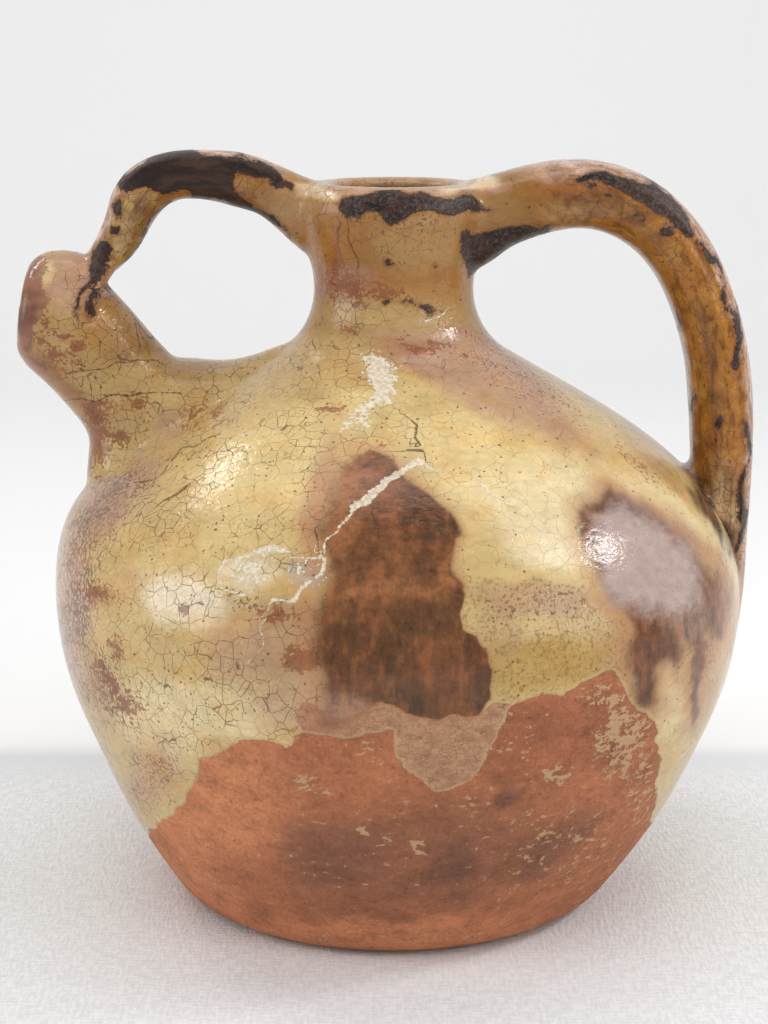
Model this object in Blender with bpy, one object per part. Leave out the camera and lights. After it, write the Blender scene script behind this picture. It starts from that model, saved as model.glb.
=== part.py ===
"""Water pitcher with an arched spout stay and a strap handle, built in metres.

The base stands on z = 0 with the body's axis on Z. The spout points to -X and the handle to +X.
"""

import math

import bmesh
import bpy
from mathutils import Matrix, Vector

# Clearance kept between two pieces that touch
clearance = 0.0003

# Thrown body, from the base up to the shoulder
baseRadius = 0.0505
baseEdge = 0.0050
bellyRadius = 0.0884
bellyHeight = 0.0790
shoulderRadius = 0.0295
shoulderHeight = 0.1415
wall = 0.0062
floorThickness = 0.0080

# Neck and rim, measured up from the shoulder
neckSeat = 0.0050
waistRadius = 0.0202
waistRise = 0.0165
neckHeight = 0.0430
rimRadius = 0.0245
rimBand = 0.0100
lipRound = 0.0070
mouthRadius = 0.0143

# Spout, measured from the shoulder's height and the belly's side
spoutFootDrop = 0.0212
spoutMouthRise = 0.0127
spoutOverhang = 0.0054
spoutRadius = 0.0140
spoutMouthRadius = 0.0129
spoutBore = 0.0080
spoutMouthBore = 0.0072
spoutLip = 0.0016

# Clay smoothed round the spout's foot
collarRise = 0.0140
collarRadius = 0.0285
collarLip = 0.0014
collarSkirt = 0.0090

# Stay that bridges the rim and the spout
bridgeRise = 0.0079
bridgeThickness = 0.0122
bridgeFootThickness = 0.0094
bridgeWidth = 0.0150
bridgeRootWidth = 0.0180
bridgeFootWidth = 0.0105
bridgeTail = 0.0040

# Strap handle
handleRise = 0.0055
handleTopReach = 0.0460
handleThickness = 0.0172
handleFootThickness = 0.0104
handleWidth = 0.0230
handleFootWidth = 0.0184
handleStandOut = 0.0034
handleSideDrop = 0.0215
handleFootHeight = 0.0640
handleFootProud = 0.0012

# Both straps spread over the neck at their roots
rootDrop = 0.0122
rootHeight = 0.0240
rootDepth = 0.0043

# Angles of the outlines against the horizontal
wallLean = math.radians(54)
shoulderSlope = math.radians(32.5)
rimLean = math.radians(82)
spoutLean = math.radians(45)
spoutTilt = math.radians(9)
collarFlare = math.radians(31)
collarSteep = math.radians(72)
bridgeRootLean = math.radians(42)
bridgeLegLean = math.radians(68)
handleRootLean = math.radians(31)
handleFootLean = math.radians(83)

# How far a curve runs on along its end directions, as a share of its chord
usualPull = 0.36
basePull = 0.23
shoulderPull = 0.42
bridgeLegPull = 0.64

# Place of the stay's foot along the spout, and how boxy the straps are in section
landingShare = 0.55
roundSection = 2.0
bridgeSection = 2.3
handleSection = 2.6

# Mesh fineness
turnSegments = 56
collarSegments = 36
spoutSegments = 28
strapSides = 20
bodySteps = 9
neckSteps = 5
spoutSteps = 12
strapSteps = 9
creaseAngle = math.radians(40)
mergeDistance = 1e-6

# Heights that follow from the sizes above
neckFoot = shoulderHeight + neckSeat
waistHeight = shoulderHeight + waistRise
rimTop = shoulderHeight + neckHeight
rimFoot = rimTop - rimBand


def clearScene():
    for item in list(bpy.data.objects):
        bpy.data.objects.remove(item, do_unlink=True)


def makeMaterial(name, colour, roughness):
    material = bpy.data.materials.new(name)
    material.use_nodes = True
    shader = material.node_tree.nodes["Principled BSDF"]
    shader.inputs["Base Color"].default_value = (*colour, 1.0)
    shader.inputs["Roughness"].default_value = roughness
    shader.inputs["Metallic"].default_value = 0.0
    return material


def heading(angle):
    """Unit vector in an outline's plane, turned up from the outward direction."""
    return Vector((math.cos(angle), math.sin(angle)))


def bend(start, startWay, end, endWay, steps, startPull=usualPull, endPull=usualPull):
    """Cubic curve that leaves along startWay and arrives along endWay, without its last point."""
    chord = (end - start).length
    first = start + startPull * chord * startWay
    second = end - endPull * chord * endWay
    points = []
    for index in range(steps):
        t = index / steps
        u = 1 - t
        points.append(u**3 * start + 3 * u * u * t * first + 3 * u * t * t * second + t**3 * end)
    return points


# Outlines of the thrown pot, as (radius, height) pairs

def outerOutline():
    """Outside of the whole thrown pot, from the base up to where the lip rounds over."""
    upright = heading(math.pi / 2)
    base = Vector((baseRadius, 0))
    edge = Vector((baseRadius + 1.5 * baseEdge, baseEdge))
    belly = Vector((bellyRadius, bellyHeight))
    shoulder = Vector((shoulderRadius, shoulderHeight))
    waist = Vector((waistRadius, waistHeight))
    lip = Vector((rimRadius, rimTop - lipRound))
    inward = heading(math.pi - shoulderSlope)
    points = bend(base, heading(0), edge, heading(wallLean), neckSteps)
    points += bend(edge, heading(wallLean), belly, upright, bodySteps, basePull)
    points += bend(belly, upright, shoulder, inward, bodySteps, usualPull, shoulderPull)
    points += bend(shoulder, inward, waist, upright, neckSteps)
    points += bend(waist, upright, lip, heading(rimLean), neckSteps)
    points.append(lip)
    return points


def offset(points, distance):
    """The outline moved along its own normals; a positive distance moves it outwards."""
    moved = []
    for index, point in enumerate(points):
        before = points[max(index - 1, 0)]
        after = points[min(index + 1, len(points) - 1)]
        along = (after - before).normalized()
        moved.append(point + distance * Vector((along.y, -along.x)))
    return moved


def insideOutline():
    """Inside of the pot from the floor's corner up to the mouth."""
    wallTop = rimFoot - wall
    points = [point for point in offset(outerOutline(), -wall) if floorThickness + wall / 2 < point.y < wallTop]
    corner = Vector((points[0].x - wall, floorThickness))
    throat = Vector((mouthRadius, rimFoot - wall / 2))
    return [corner] + points + [throat, Vector((mouthRadius, rimTop - lipRound / 2))]


def between(points, low, high):
    """The stretch of an outline between two heights, cut exactly at both."""
    kept = [point for point in points if low <= point.y <= high]
    for first, second in zip(points, points[1:]):
        for height in (low, high):
            if (first.y - height) * (second.y - height) < 0:
                kept.append(first.lerp(second, (height - first.y) / (second.y - first.y)))
    return sorted(kept, key=lambda point: point.y)


def radiusAt(height):
    """Outside radius of the thrown pot at a height."""
    return between(outerOutline(), height, rimTop)[0].x


# Solids

def linkMesh(name, builder, material):
    """Turns a bmesh into an object; one without a material is a cutter and stays hidden."""
    bmesh.ops.recalc_face_normals(builder, faces=builder.faces)
    mesh = bpy.data.meshes.new(name)
    builder.to_mesh(mesh)
    builder.free()
    mesh.shade_smooth()
    mesh.set_sharp_from_angle(angle=creaseAngle)
    item = bpy.data.objects.new(name, mesh)
    bpy.context.collection.objects.link(item)
    if material:
        mesh.materials.append(material)
    else:
        item.hide_render = True
        item.display_type = "WIRE"
    return item


def turned(name, outline, segments, material=None):
    """Solid of revolution about Z from a closed (radius, height) outline."""
    builder = bmesh.new()
    corners = [builder.verts.new((point.x, 0, point.y)) for point in outline]
    edges = []
    for first, second in zip(corners, corners[1:] + corners[:1]):
        onAxis = max(first.co.x, second.co.x) < mergeDistance
        if not onAxis:
            edges.append(builder.edges.new((first, second)))
    bmesh.ops.spin(
        builder,
        geom=corners + edges,
        axis=(0, 0, 1),
        cent=(0, 0, 0),
        steps=segments,
        angle=2 * math.pi,
        use_merge=True,
    )
    bmesh.ops.remove_doubles(builder, verts=builder.verts, dist=mergeDistance)
    return linkMesh(name, builder, material)


def swept(name, stations, squareness, sides, material=None):
    """Solid along (centre, half height, half width) stations, with a rounded section across."""
    builder = bmesh.new()
    centres = [station[0] for station in stations]
    rings = []
    for index, (centre, halfHeight, halfWidth) in enumerate(stations):
        before = centres[max(index - 1, 0)]
        after = centres[min(index + 1, len(centres) - 1)]
        along = (after - before).normalized()
        across = (Vector((0, 1, 0)) - along.y * along).normalized()
        upward = across.cross(along)
        ring = []
        for side in range(sides):
            angle = 2 * math.pi * side / sides
            wide = math.copysign(abs(math.cos(angle)) ** (2 / squareness), math.cos(angle))
            high = math.copysign(abs(math.sin(angle)) ** (2 / squareness), math.sin(angle))
            ring.append(builder.verts.new(centre + halfWidth * wide * across + halfHeight * high * upward))
        rings.append(ring)
    for lower, upper in zip(rings, rings[1:]):
        for side in range(sides):
            following = (side + 1) % sides
            builder.faces.new((lower[side], lower[following], upper[following], upper[side]))
    builder.faces.new(rings[0])
    builder.faces.new(rings[-1])
    return linkMesh(name, builder, material)


def subtract(item, cutter):
    cut = item.modifiers.new("cut " + cutter.name, "BOOLEAN")
    cut.operation = "DIFFERENCE"
    cut.solver = "EXACT"
    cut.object = cutter


def inPlane(x, z, y=0.0):
    return Vector((x, y, z))


def aim(angle, side):
    """Unit vector in the plane of spout and handle: side 1 looks to the handle, -1 to the spout."""
    return inPlane(side * math.cos(angle), math.sin(angle))


# Thrown pieces

def makeBody(material):
    outside = between(outerOutline(), 0, neckFoot)
    inside = between(insideOutline(), floorThickness, neckFoot)
    outline = [Vector((0, 0))] + outside + inside[::-1] + [Vector((0, floorThickness))]
    return turned("body", outline, turnSegments, material)


def makeNeck(material):
    low = neckFoot + clearance
    outside = between(outerOutline(), low, rimFoot)
    inside = between(insideOutline(), low, rimFoot)
    return turned("neck", outside + inside[::-1], turnSegments, material)


def makeRim(material):
    low = rimFoot + clearance
    outside = between(outerOutline(), low, rimTop)
    inside = between(insideOutline(), low, rimTop)
    crown = Vector((rimRadius - lipRound, rimTop))
    inward = heading(math.pi)
    lip = bend(outside[-1], heading(rimLean), crown, inward, neckSteps)
    inner = bend(crown, inward, inside[-1], heading(-math.pi / 2), neckSteps)
    return turned("rim", outside[:-1] + lip + inner + inside[::-1], turnSegments, material)


def makePotCutter():
    """The thrown pot's outside grown by the clearance, and run straight up past the rim."""
    grown = [point for point in offset(outerOutline(), clearance) if point.y > -clearance / 2]
    side = rimRadius + clearance
    ceiling = rimTop + neckHeight
    outline = [Vector((0, -clearance)), Vector((baseRadius, -clearance))] + grown
    outline += [Vector((side, ceiling)), Vector((0, ceiling))]
    return turned("pot cutter", outline, turnSegments)


# Spout

def spoutFoot():
    height = shoulderHeight - spoutFootDrop
    return inPlane(-radiusAt(height), height)


def spoutMouth():
    return inPlane(-bellyRadius - spoutOverhang, shoulderHeight + spoutMouthRise)


def spoutLine():
    """Centre line of the spout, from its foot on the shoulder to its mouth."""
    foot = spoutFoot()
    mouth = spoutMouth()
    return bend(foot, aim(spoutLean, -1), mouth, aim(spoutTilt, -1), spoutSteps) + [mouth]


def spoutStations(footRadius, mouthRadius, lip, inward, outward):
    """Stations along the spout, run on into the body by inward and past the mouth by outward."""
    line = spoutLine()
    stations = [(line[0] - inward * aim(spoutLean, -1), footRadius, footRadius)]
    for index, point in enumerate(line):
        share = index / (len(line) - 1)
        radius = footRadius + (mouthRadius - footRadius) * share**4
        stations.append((point, radius, radius))
    end = line[-1] + outward * aim(spoutTilt, -1)
    stations.append((end, mouthRadius - lip, mouthRadius - lip))
    return stations


def makeSpoutCutter():
    stations = spoutStations(
        spoutRadius + clearance,
        spoutMouthRadius + clearance,
        spoutLip,
        wall,
        spoutLip + clearance,
    )
    return swept("spout cutter", stations, roundSection, spoutSegments)


def makeBoreCutter():
    stations = spoutStations(spoutBore, spoutMouthBore, 0, 2 * spoutRadius, spoutRadius)
    return swept("bore cutter", stations, roundSection, spoutSegments)


def makeSpout(material, potCutter, boreCutter):
    stations = spoutStations(spoutRadius, spoutMouthRadius, spoutLip, 2 * wall, spoutLip)
    spout = swept("spout", stations, roundSection, spoutSegments, material)
    subtract(spout, potCutter)
    subtract(spout, boreCutter)
    return spout


def makeCollar(material, potCutter, spoutCutter):
    """Ring of clay that spreads from the spout's side out onto the shoulder."""
    top = Vector((spoutRadius + collarLip, collarRise))
    edge = Vector((collarRadius, 0))
    skirt = Vector((collarRadius + collarLip, -collarSkirt))
    depth = -1.5 * collarRadius
    outline = [Vector((0, depth)), Vector((skirt.x, depth)), skirt]
    outline += bend(edge, heading(math.pi - collarFlare), top, heading(math.pi - collarSteep), neckSteps)
    outline += [top, Vector((0, collarRise))]
    collar = turned("spout_collar", outline, collarSegments, material)
    turn = Vector((0, 0, 1)).rotation_difference(aim(spoutLean, -1)).to_matrix().to_4x4()
    collar.data.transform(Matrix.Translation(spoutFoot()) @ turn)
    subtract(collar, potCutter)
    subtract(collar, spoutCutter)
    return collar


# Straps

def strapStretch(points, heights, widths, power=1):
    """Stations along points; thickness and width each go from a start value to an end value."""
    stations = []
    for index, point in enumerate(points):
        share = (1 - index / len(points)) ** power
        height = heights[1] + (heights[0] - heights[1]) * share
        width = widths[1] + (widths[0] - widths[1]) * share
        stations.append((point, height / 2, width / 2))
    return stations


def makeBridge(material, potCutter, spoutCutter):
    line = spoutLine()
    spot = line[round(landingShare * (len(line) - 1))]
    landing = spot + inPlane(0, spoutRadius / 2, -bridgeTail)
    root = inPlane(rootDepth - waistRadius, rimTop - rootDrop)
    top = inPlane((landing.x - rimRadius) / 2, rimTop + bridgeRise - bridgeThickness / 2)
    level = aim(0, -1)
    rise = bend(root, aim(bridgeRootLean, -1), top, level, strapSteps)
    fall = bend(top, level, landing, -aim(bridgeLegLean, 1), strapSteps, usualPull, bridgeLegPull)
    stations = strapStretch(rise, (rootHeight, bridgeThickness), (bridgeRootWidth, bridgeWidth), 3)
    stations += strapStretch(fall, (bridgeThickness, bridgeFootThickness), (bridgeWidth, bridgeFootWidth))
    stations.append((landing, bridgeFootThickness / 2, bridgeFootWidth / 2))
    bridge = swept("bridge", stations, bridgeSection, strapSides, material)
    subtract(bridge, potCutter)
    subtract(bridge, spoutCutter)
    return bridge


def makeHandle(material, potCutter):
    half = handleThickness / 2
    root = inPlane(waistRadius - rootDepth, rimTop - rootDrop)
    top = inPlane(handleTopReach, rimTop + handleRise - half)
    side = inPlane(bellyRadius + handleStandOut - half, shoulderHeight - handleSideDrop)
    footX = radiusAt(handleFootHeight) + handleFootProud - handleFootThickness / 2
    foot = inPlane(footX, handleFootHeight)
    down = -aim(math.pi / 2, 1)
    rise = bend(root, aim(handleRootLean, 1), top, aim(0, 1), strapSteps)
    quarter = [index * math.pi / 2 / strapSteps for index in range(strapSteps)]
    reach = side.x - top.x
    fall = top.z - side.z
    turn = [inPlane(top.x + reach * math.sin(angle), side.z + fall * math.cos(angle)) for angle in quarter]
    run = bend(side, down, foot, -aim(handleFootLean, 1), strapSteps)
    stations = strapStretch(rise, (rootHeight, handleThickness), (handleWidth, handleWidth), 3)
    stations += strapStretch(turn, (handleThickness, handleThickness), (handleWidth, handleWidth))
    stations += strapStretch(run, (handleThickness, handleFootThickness), (handleWidth, handleFootWidth))
    stations.append((foot, handleFootThickness / 2, handleFootWidth / 2))
    handle = swept("handle", stations, handleSection, strapSides, material)
    subtract(handle, potCutter)
    return handle


def main():
    clearScene()
    body = makeBody(makeMaterial("yellow_glaze_over_clay", (0.62, 0.42, 0.13), 0.22))
    makeNeck(makeMaterial("ochre_glaze", (0.55, 0.34, 0.10), 0.24))
    makeRim(makeMaterial("dark_edged_glaze", (0.20, 0.12, 0.08), 0.30))
    potCutter = makePotCutter()
    spoutCutter = makeSpoutCutter()
    boreCutter = makeBoreCutter()
    subtract(body, boreCutter)
    makeSpout(makeMaterial("crackled_glaze", (0.56, 0.38, 0.15), 0.24), potCutter, boreCutter)
    makeCollar(makeMaterial("smoothed_glaze", (0.60, 0.42, 0.17), 0.24), potCutter, spoutCutter)
    makeBridge(makeMaterial("brown_black_glaze", (0.10, 0.06, 0.05), 0.28), potCutter, spoutCutter)
    makeHandle(makeMaterial("amber_glaze", (0.42, 0.22, 0.07), 0.26), potCutter)


main()
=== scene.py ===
import math

import bpy
import numpy as np
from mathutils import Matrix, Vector


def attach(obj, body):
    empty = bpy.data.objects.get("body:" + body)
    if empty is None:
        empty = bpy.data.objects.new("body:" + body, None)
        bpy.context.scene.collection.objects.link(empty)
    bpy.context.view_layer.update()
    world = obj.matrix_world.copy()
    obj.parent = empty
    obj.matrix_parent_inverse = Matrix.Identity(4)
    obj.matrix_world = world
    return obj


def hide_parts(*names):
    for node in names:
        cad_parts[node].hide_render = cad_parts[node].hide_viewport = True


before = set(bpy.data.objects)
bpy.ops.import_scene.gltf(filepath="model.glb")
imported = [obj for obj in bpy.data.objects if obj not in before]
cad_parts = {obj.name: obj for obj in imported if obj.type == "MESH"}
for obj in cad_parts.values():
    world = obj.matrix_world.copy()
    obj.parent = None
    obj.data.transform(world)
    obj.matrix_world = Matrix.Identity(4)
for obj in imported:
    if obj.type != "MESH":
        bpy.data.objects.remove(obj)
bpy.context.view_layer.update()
print("frame loaded")

mm = 0.001

# How fine the shaped clay is, and how long its surface is smoothed
clay = {
    "grain": 1.2 * mm,
    "rounds": 4,
    "smoothing": 0.5,
    "weldReach": 0.01 * mm,
    "seamSharpness": math.radians(40),
}


def onlySelect(item):
    bpy.ops.object.select_all(action="DESELECT")
    item.select_set(True)
    bpy.context.view_layer.objects.active = item


def editAll():
    bpy.ops.object.mode_set(mode="EDIT")
    bpy.ops.mesh.select_all(action="SELECT")


def editEnd():
    bpy.ops.object.mode_set(mode="OBJECT")


def applyModifier(item, kind, **settings):
    onlySelect(item)
    modifier = item.modifiers.new(kind.lower(), kind)
    for key, value in settings.items():
        setattr(modifier, key, value)
    bpy.ops.object.modifier_apply(modifier=modifier.name)


def duplicate(item, name):
    copied = item.copy()
    copied.data = item.data.copy()
    copied.name = name
    bpy.context.collection.objects.link(copied)
    return copied


def discard(*items):
    for item in items:
        bpy.data.objects.remove(item, do_unlink=True)


def cutAway(item, cutter, solver="EXACT"):
    applyModifier(item, "BOOLEAN", operation="DIFFERENCE", object=cutter, solver=solver)


def keepInside(item, cutter):
    applyModifier(item, "BOOLEAN", operation="INTERSECT", object=cutter, solver="MANIFOLD")


def pressOn(item, lump):
    applyModifier(item, "BOOLEAN", operation="UNION", object=lump, solver="EXACT")
    discard(lump)


def readPoints(item):
    points = np.empty(len(item.data.vertices) * 3)
    item.data.vertices.foreach_get("co", points)
    return points.reshape(-1, 3)


def writePoints(item, points):
    item.data.vertices.foreach_set("co", points.ravel())
    item.data.update()


def faceOutwards(item):
    onlySelect(item)
    editAll()
    bpy.ops.mesh.remove_doubles(threshold=clay["weldReach"])
    bpy.ops.mesh.normals_make_consistent(inside=False)
    editEnd()


def throwForm(name, outline, sides):
    # A disc drawn up ring by ring, as on the wheel; outline holds (radius, height) pairs
    bpy.ops.object.select_all(action="DESELECT")
    radius, height = outline[0]
    where = (0, 0, height)
    bpy.ops.mesh.primitive_circle_add(vertices=sides, radius=radius, fill_type="NGON", location=where)
    item = bpy.context.object
    item.name = name
    bpy.ops.object.transform_apply(location=True)
    editAll()
    for nextRadius, nextHeight in outline[1:]:
        bpy.ops.mesh.extrude_region_move(TRANSFORM_OT_translate={"value": (0, 0, nextHeight - height)})
        scale = nextRadius / radius
        bpy.ops.transform.resize(value=(scale, scale, 1), center_override=(0, 0, nextHeight))
        radius, height = nextRadius, nextHeight
    editEnd()
    faceOutwards(item)
    return item


def smoothLine(stations, count):
    # Smooth curve through rows of numbers, evenly stepped between the rows
    rows = np.array(stations, float)
    padded = np.vstack([2 * rows[0] - rows[1], rows, 2 * rows[-1] - rows[-2]])
    made = []
    for place in np.linspace(0, len(rows) - 1, count):
        index = min(int(place), len(rows) - 2)
        t = place - index
        a, b, c, d = padded[index:index + 4]
        curved = (2 * a - 5 * b + 4 * c - d) * t**2 + (3 * b - a - 3 * c + d) * t**3
        made.append(0.5 * (2 * b + (c - a) * t + curved))
    return np.array(made)


def strapAxes(rows):
    # Unit directions along and across a strap at each of its rows
    along = np.gradient(rows[:, :3], axis=0)
    along /= np.linalg.norm(along, axis=1)[:, None]
    across = np.array([0, 1, 0]) - along * along[:, 1:2]
    return along, across / np.linalg.norm(across, axis=1)[:, None]


def pullStrap(name, stations, sides, steps, squareness=2.0, grow=0.0):
    # A straight column of clay is extruded and laid along the stations
    # Each station: centre x, y, z, half height in the plane of the strap, half width across, in millimetres
    rows = smoothLine(stations, steps) * mm
    bpy.ops.object.select_all(action="DESELECT")
    bpy.ops.mesh.primitive_circle_add(vertices=sides, radius=1, fill_type="NGON")
    item = bpy.context.object
    item.name = name
    editAll()
    for ring in range(steps - 1):
        bpy.ops.mesh.extrude_region_move(TRANSFORM_OT_translate={"value": (0, 0, 1)})
    editEnd()
    points = readPoints(item)
    ring = np.clip(points[:, 2].round().astype(int), 0, steps - 1)
    along, across = strapAxes(rows)
    upward = np.cross(across, along)
    wide, high = (np.sign(points[:, :2]) * np.abs(points[:, :2]) ** (2 / squareness)).T
    sideways = ((rows[ring, 4] + grow) * wide)[:, None] * across[ring]
    writePoints(item, rows[ring, :3] + sideways + ((rows[ring, 3] + grow) * high)[:, None] * upward[ring])
    faceOutwards(item)
    return item


# Thrown pot

pot = {
    "sides": 160,
    "baseRadius": 48.6 * mm,
    "edge": (58.6 * mm, 5.0 * mm),
    "belly": (88.4 * mm, 79.0 * mm),
    "shoulder": (29.5 * mm, 141.5 * mm),
    "waist": (20.2 * mm, 158.0 * mm),
    "lip": (24.5 * mm, 177.5 * mm),
    "crown": (18.8 * mm, 184.5 * mm),
    "throat": (14.3 * mm, 178.5 * mm),
    "throatFloor": 150 * mm,
    "wallLean": 55,
    "shoulderSlope": 31.0,
    "rimLean": 82,
    "wall": 6.2 * mm,
    "floor": 8.0 * mm,
    "baseLean": -1.6 * mm,
    "baseLeanTop": 46 * mm,
    "neckLean": -1.2 * mm,
    "neckLeanFrom": 108 * mm,
    "neckLeanTo": 150 * mm,
    "leftSwell": 2.9 * mm,
    "leftSwellHeight": 105 * mm,
    "leftSwellReach": 15 * mm,
    "lowHollow": 0.8 * mm,
    "lowHollowHeight": 42 * mm,
    "lowHollowReach": 12 * mm,
}


def heading(degrees):
    return np.array([math.cos(math.radians(degrees)), math.sin(math.radians(degrees))])


def bend(start, startWay, end, endWay, steps, startPull=0.36, endPull=0.36):
    # Curve that leaves along one direction and arrives along another, without its last point
    start, end = np.array(start), np.array(end)
    chord = np.linalg.norm(end - start)
    first = start + startPull * chord * heading(startWay)
    second = end - endPull * chord * heading(endWay)
    made = []
    for t in np.arange(steps) / steps:
        u = 1 - t
        made.append(u**3 * start + 3 * u * u * t * first + 3 * u * t * t * second + t**3 * end)
    return made


def potOutline():
    inward = 180 - pot["shoulderSlope"]
    points = bend((pot["baseRadius"], 0), 0, pot["edge"], pot["wallLean"], 5)
    points += bend(pot["edge"], pot["wallLean"], pot["belly"], 90, 24, 0.23)
    points += bend(pot["belly"], 90, pot["shoulder"], inward, 24, 0.36, 0.395)
    points += bend(pot["shoulder"], inward, pot["waist"], 90, 12)
    points += bend(pot["waist"], 90, pot["lip"], pot["rimLean"], 10)
    return points


def insetOutline(depth):
    outer = potOutline()
    inner = []
    for before, point, after in zip(outer, outer[1:], outer[2:]):
        along = (after - before) / np.linalg.norm(after - before)
        inner.append(point - depth * np.array([along[1], -along[0]]))
    return inner


def leanPot(item):
    # The wheel-thrown form isn't quite true: base and neck sit a little to the left
    points = readPoints(item)
    x, z = points[:, 0], points[:, 2]
    low = np.clip(1 - z / pot["baseLeanTop"], 0, 1)
    high = np.clip((z - pot["neckLeanFrom"]) / (pot["neckLeanTo"] - pot["neckLeanFrom"]), 0, 1)
    swell = np.exp(-((z - pot["leftSwellHeight"]) / pot["leftSwellReach"]) ** 2)
    leftward = np.clip(-x / pot["belly"][0], 0, 1) ** 2
    points[:, 0] += pot["baseLean"] * low**1.5 + pot["neckLean"] * high * high * (3 - 2 * high)
    points[:, 0] -= pot["leftSwell"] * swell * leftward
    hollowed = pot["lowHollow"] * np.exp(-((z - pot["lowHollowHeight"]) / pot["lowHollowReach"]) ** 2)
    points[:, :2] *= 1 - (hollowed / pot["belly"][0])[:, None]
    writePoints(item, points)
    return item


def leanNeck(item):
    points = readPoints(item)
    points[:, 0] += pot["neckLean"]
    writePoints(item, points)
    return item


def throwPot():
    outline = potOutline()
    outline += bend(pot["lip"], pot["rimLean"], pot["crown"], 180, 7)
    outline.append(np.array(pot["crown"]))
    return leanPot(throwForm("pot", outline, pot["sides"]))


def throatPlug():
    # Rounded mouth and throat, cut out of the solid rim
    throat, crown = pot["throat"], pot["crown"]
    outside = crown[0] + 4 * mm
    outline = [(throat[0] - 1 * mm, pot["throatFloor"]), (throat[0], pot["throatFloor"] + 3 * mm)]
    outline += [tuple(point) for point in bend(throat, 90, crown, 0, 7, 0.5, 0.5)]
    outline += [crown, (outside, crown[1] + 1.5 * mm), (outside, crown[1] + 12 * mm)]
    return leanNeck(throwForm("throat plug", outline, 72))


def hollow():
    # Room inside the pot: the outline set in by the wall, from the floor up into the throat
    low, high = pot["floor"] + 2 * mm, pot["throatFloor"] + 4 * mm
    inner = [point for point in insetOutline(pot["wall"]) if low < point[1] < high]
    outline = [(inner[0][0] - 6 * mm, pot["floor"])] + [tuple(point) for point in inner[::3]]
    outline.append((outline[-1][0] - 1 * mm, pot["throatFloor"] + 5 * mm))
    return leanPot(throwForm("hollow", outline, 72))


# Spout and the clay smoothed round its foot

spout = {
    # centre x, y, z, half height, half width
    "stations": [
        (-46, 0, 106, 15, 15), (-53, 0, 113, 15, 15), (-60, 0, 120.5, 14.9, 15),
        (-67, 0, 128.6, 14.6, 14.8), (-73.4, 0, 136.2, 14.2, 14.5), (-79.4, 0, 143.2, 14.4, 14.2),
        (-85.2, 0, 148.8, 14.6, 13.9), (-90.0, 0, 151.9, 13.5, 13.4), (-93.6, 0, 153.2, 12.4, 12.2),
        (-95.0, 0, 153.5, 10.4, 10.2),
    ],
    "bore": [
        (-38, 0, 98, 8, 8), (-60, 0, 120, 8, 8), (-73.4, 0, 136.2, 8, 8), (-85, 0, 148.8, 7.6, 7.6),
        (-94, 0, 153.1, 7.6, 7.6), (-104, 0, 154.6, 9.5, 9.5),
    ],
    "saddle": [
        (-70, 0, 131, 8, 12), (-63, 0, 130, 9.5, 14.5), (-56, 0, 129.6, 10.2, 16),
        (-48, 0, 128.8, 10.4, 16), (-40, 0, 130.5, 9.2, 14), (-33, 0, 133.6, 8, 12),
        (-26.5, 0, 137.5, 6.5, 9), (-19, 0, 140, 5, 7),
    ],
    "chin": [
        (-62, 0, 92, 12, 16), (-66, 0, 100, 12.5, 17), (-68.4, 0, 108, 12.2, 17),
        (-69.2, 0, 115, 10.8, 15), (-70.4, 0, 122, 9.6, 12), (-74, 0, 129, 9, 10),
    ],
    "brow": [
        (-90.2, 0, 154.5, 8, 6.5), (-87, 0, 156.4, 10.6, 9), (-83, 0, 157.4, 10.2, 9.5),
        (-79.5, 0, 158.4, 9.8, 9), (-76.4, 0, 160.6, 8.4, 7.5),
    ],
}

# Stay that bridges the rim and the spout

bridge = {
    "stations": [
        (-8, 0, 172, 11, 9.5), (-15, 0, 173.5, 10.6, 9.3), (-20.5, 0, 175.6, 9.3, 9),
        (-26, 0, 178.6, 7.6, 8.6), (-32.3, 0, 182.3, 6.6, 8), (-40, 0, 184.9, 6.8, 7.6),
        (-48.5, 0, 186.2, 6.2, 7.4), (-56.4, 0, 185.9, 6.1, 7.3), (-62.6, 0, 183.3, 6.5, 7.2),
        (-66.2, 0, 179.1, 6.4, 7), (-68.4, 0, 174.3, 5.7, 6.7), (-70.8, 0, 169.7, 5.3, 6.3),
        (-74.2, 0, 165.4, 4.4, 6), (-77.8, 0, 161.4, 3.5, 5.6), (-81.0, 0, 157.5, 3.5, 5),
    ],
    "tail": [
        (-73.4, -3.5, 164.5, 3, 3), (-75.0, -7.0, 161, 2.6, 2.8), (-76.8, -10.2, 157, 2.2, 2.4),
        (-78.4, -12.4, 153.4, 1.6, 2), (-79.8, -13.4, 149.6, 0.9, 1.2),
    ],
}

# Strap handle

handle = {
    "stations": [
        (9, 0, 171.5, 11.6, 11.5), (17, 0, 173.6, 11.2, 11.5), (25.5, 0, 177.2, 9.3, 11.5),
        (36, 0, 180.4, 8.8, 11.5), (45.7, 0, 181.5, 8.6, 11.5), (54.9, 0, 179.7, 8.5, 11.5),
        (63.9, 0, 174.5, 8.3, 11.5), (71.6, 0, 165.8, 8.1, 11.5), (77.3, 0, 154, 8.0, 11.5),
        (81.1, 0, 141, 8.0, 11.5), (82.9, 0, 126, 8.0, 11.5), (83.5, 0, 110, 7.6, 11.2),
        (83.6, 0, 95, 6.9, 10.6), (84.0, 0, 80, 6.2, 10), (83.7, 0, 69, 5.2, 9.2),
        (81.6, 0, 61, 3.8, 7.6),
    ],
}


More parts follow.
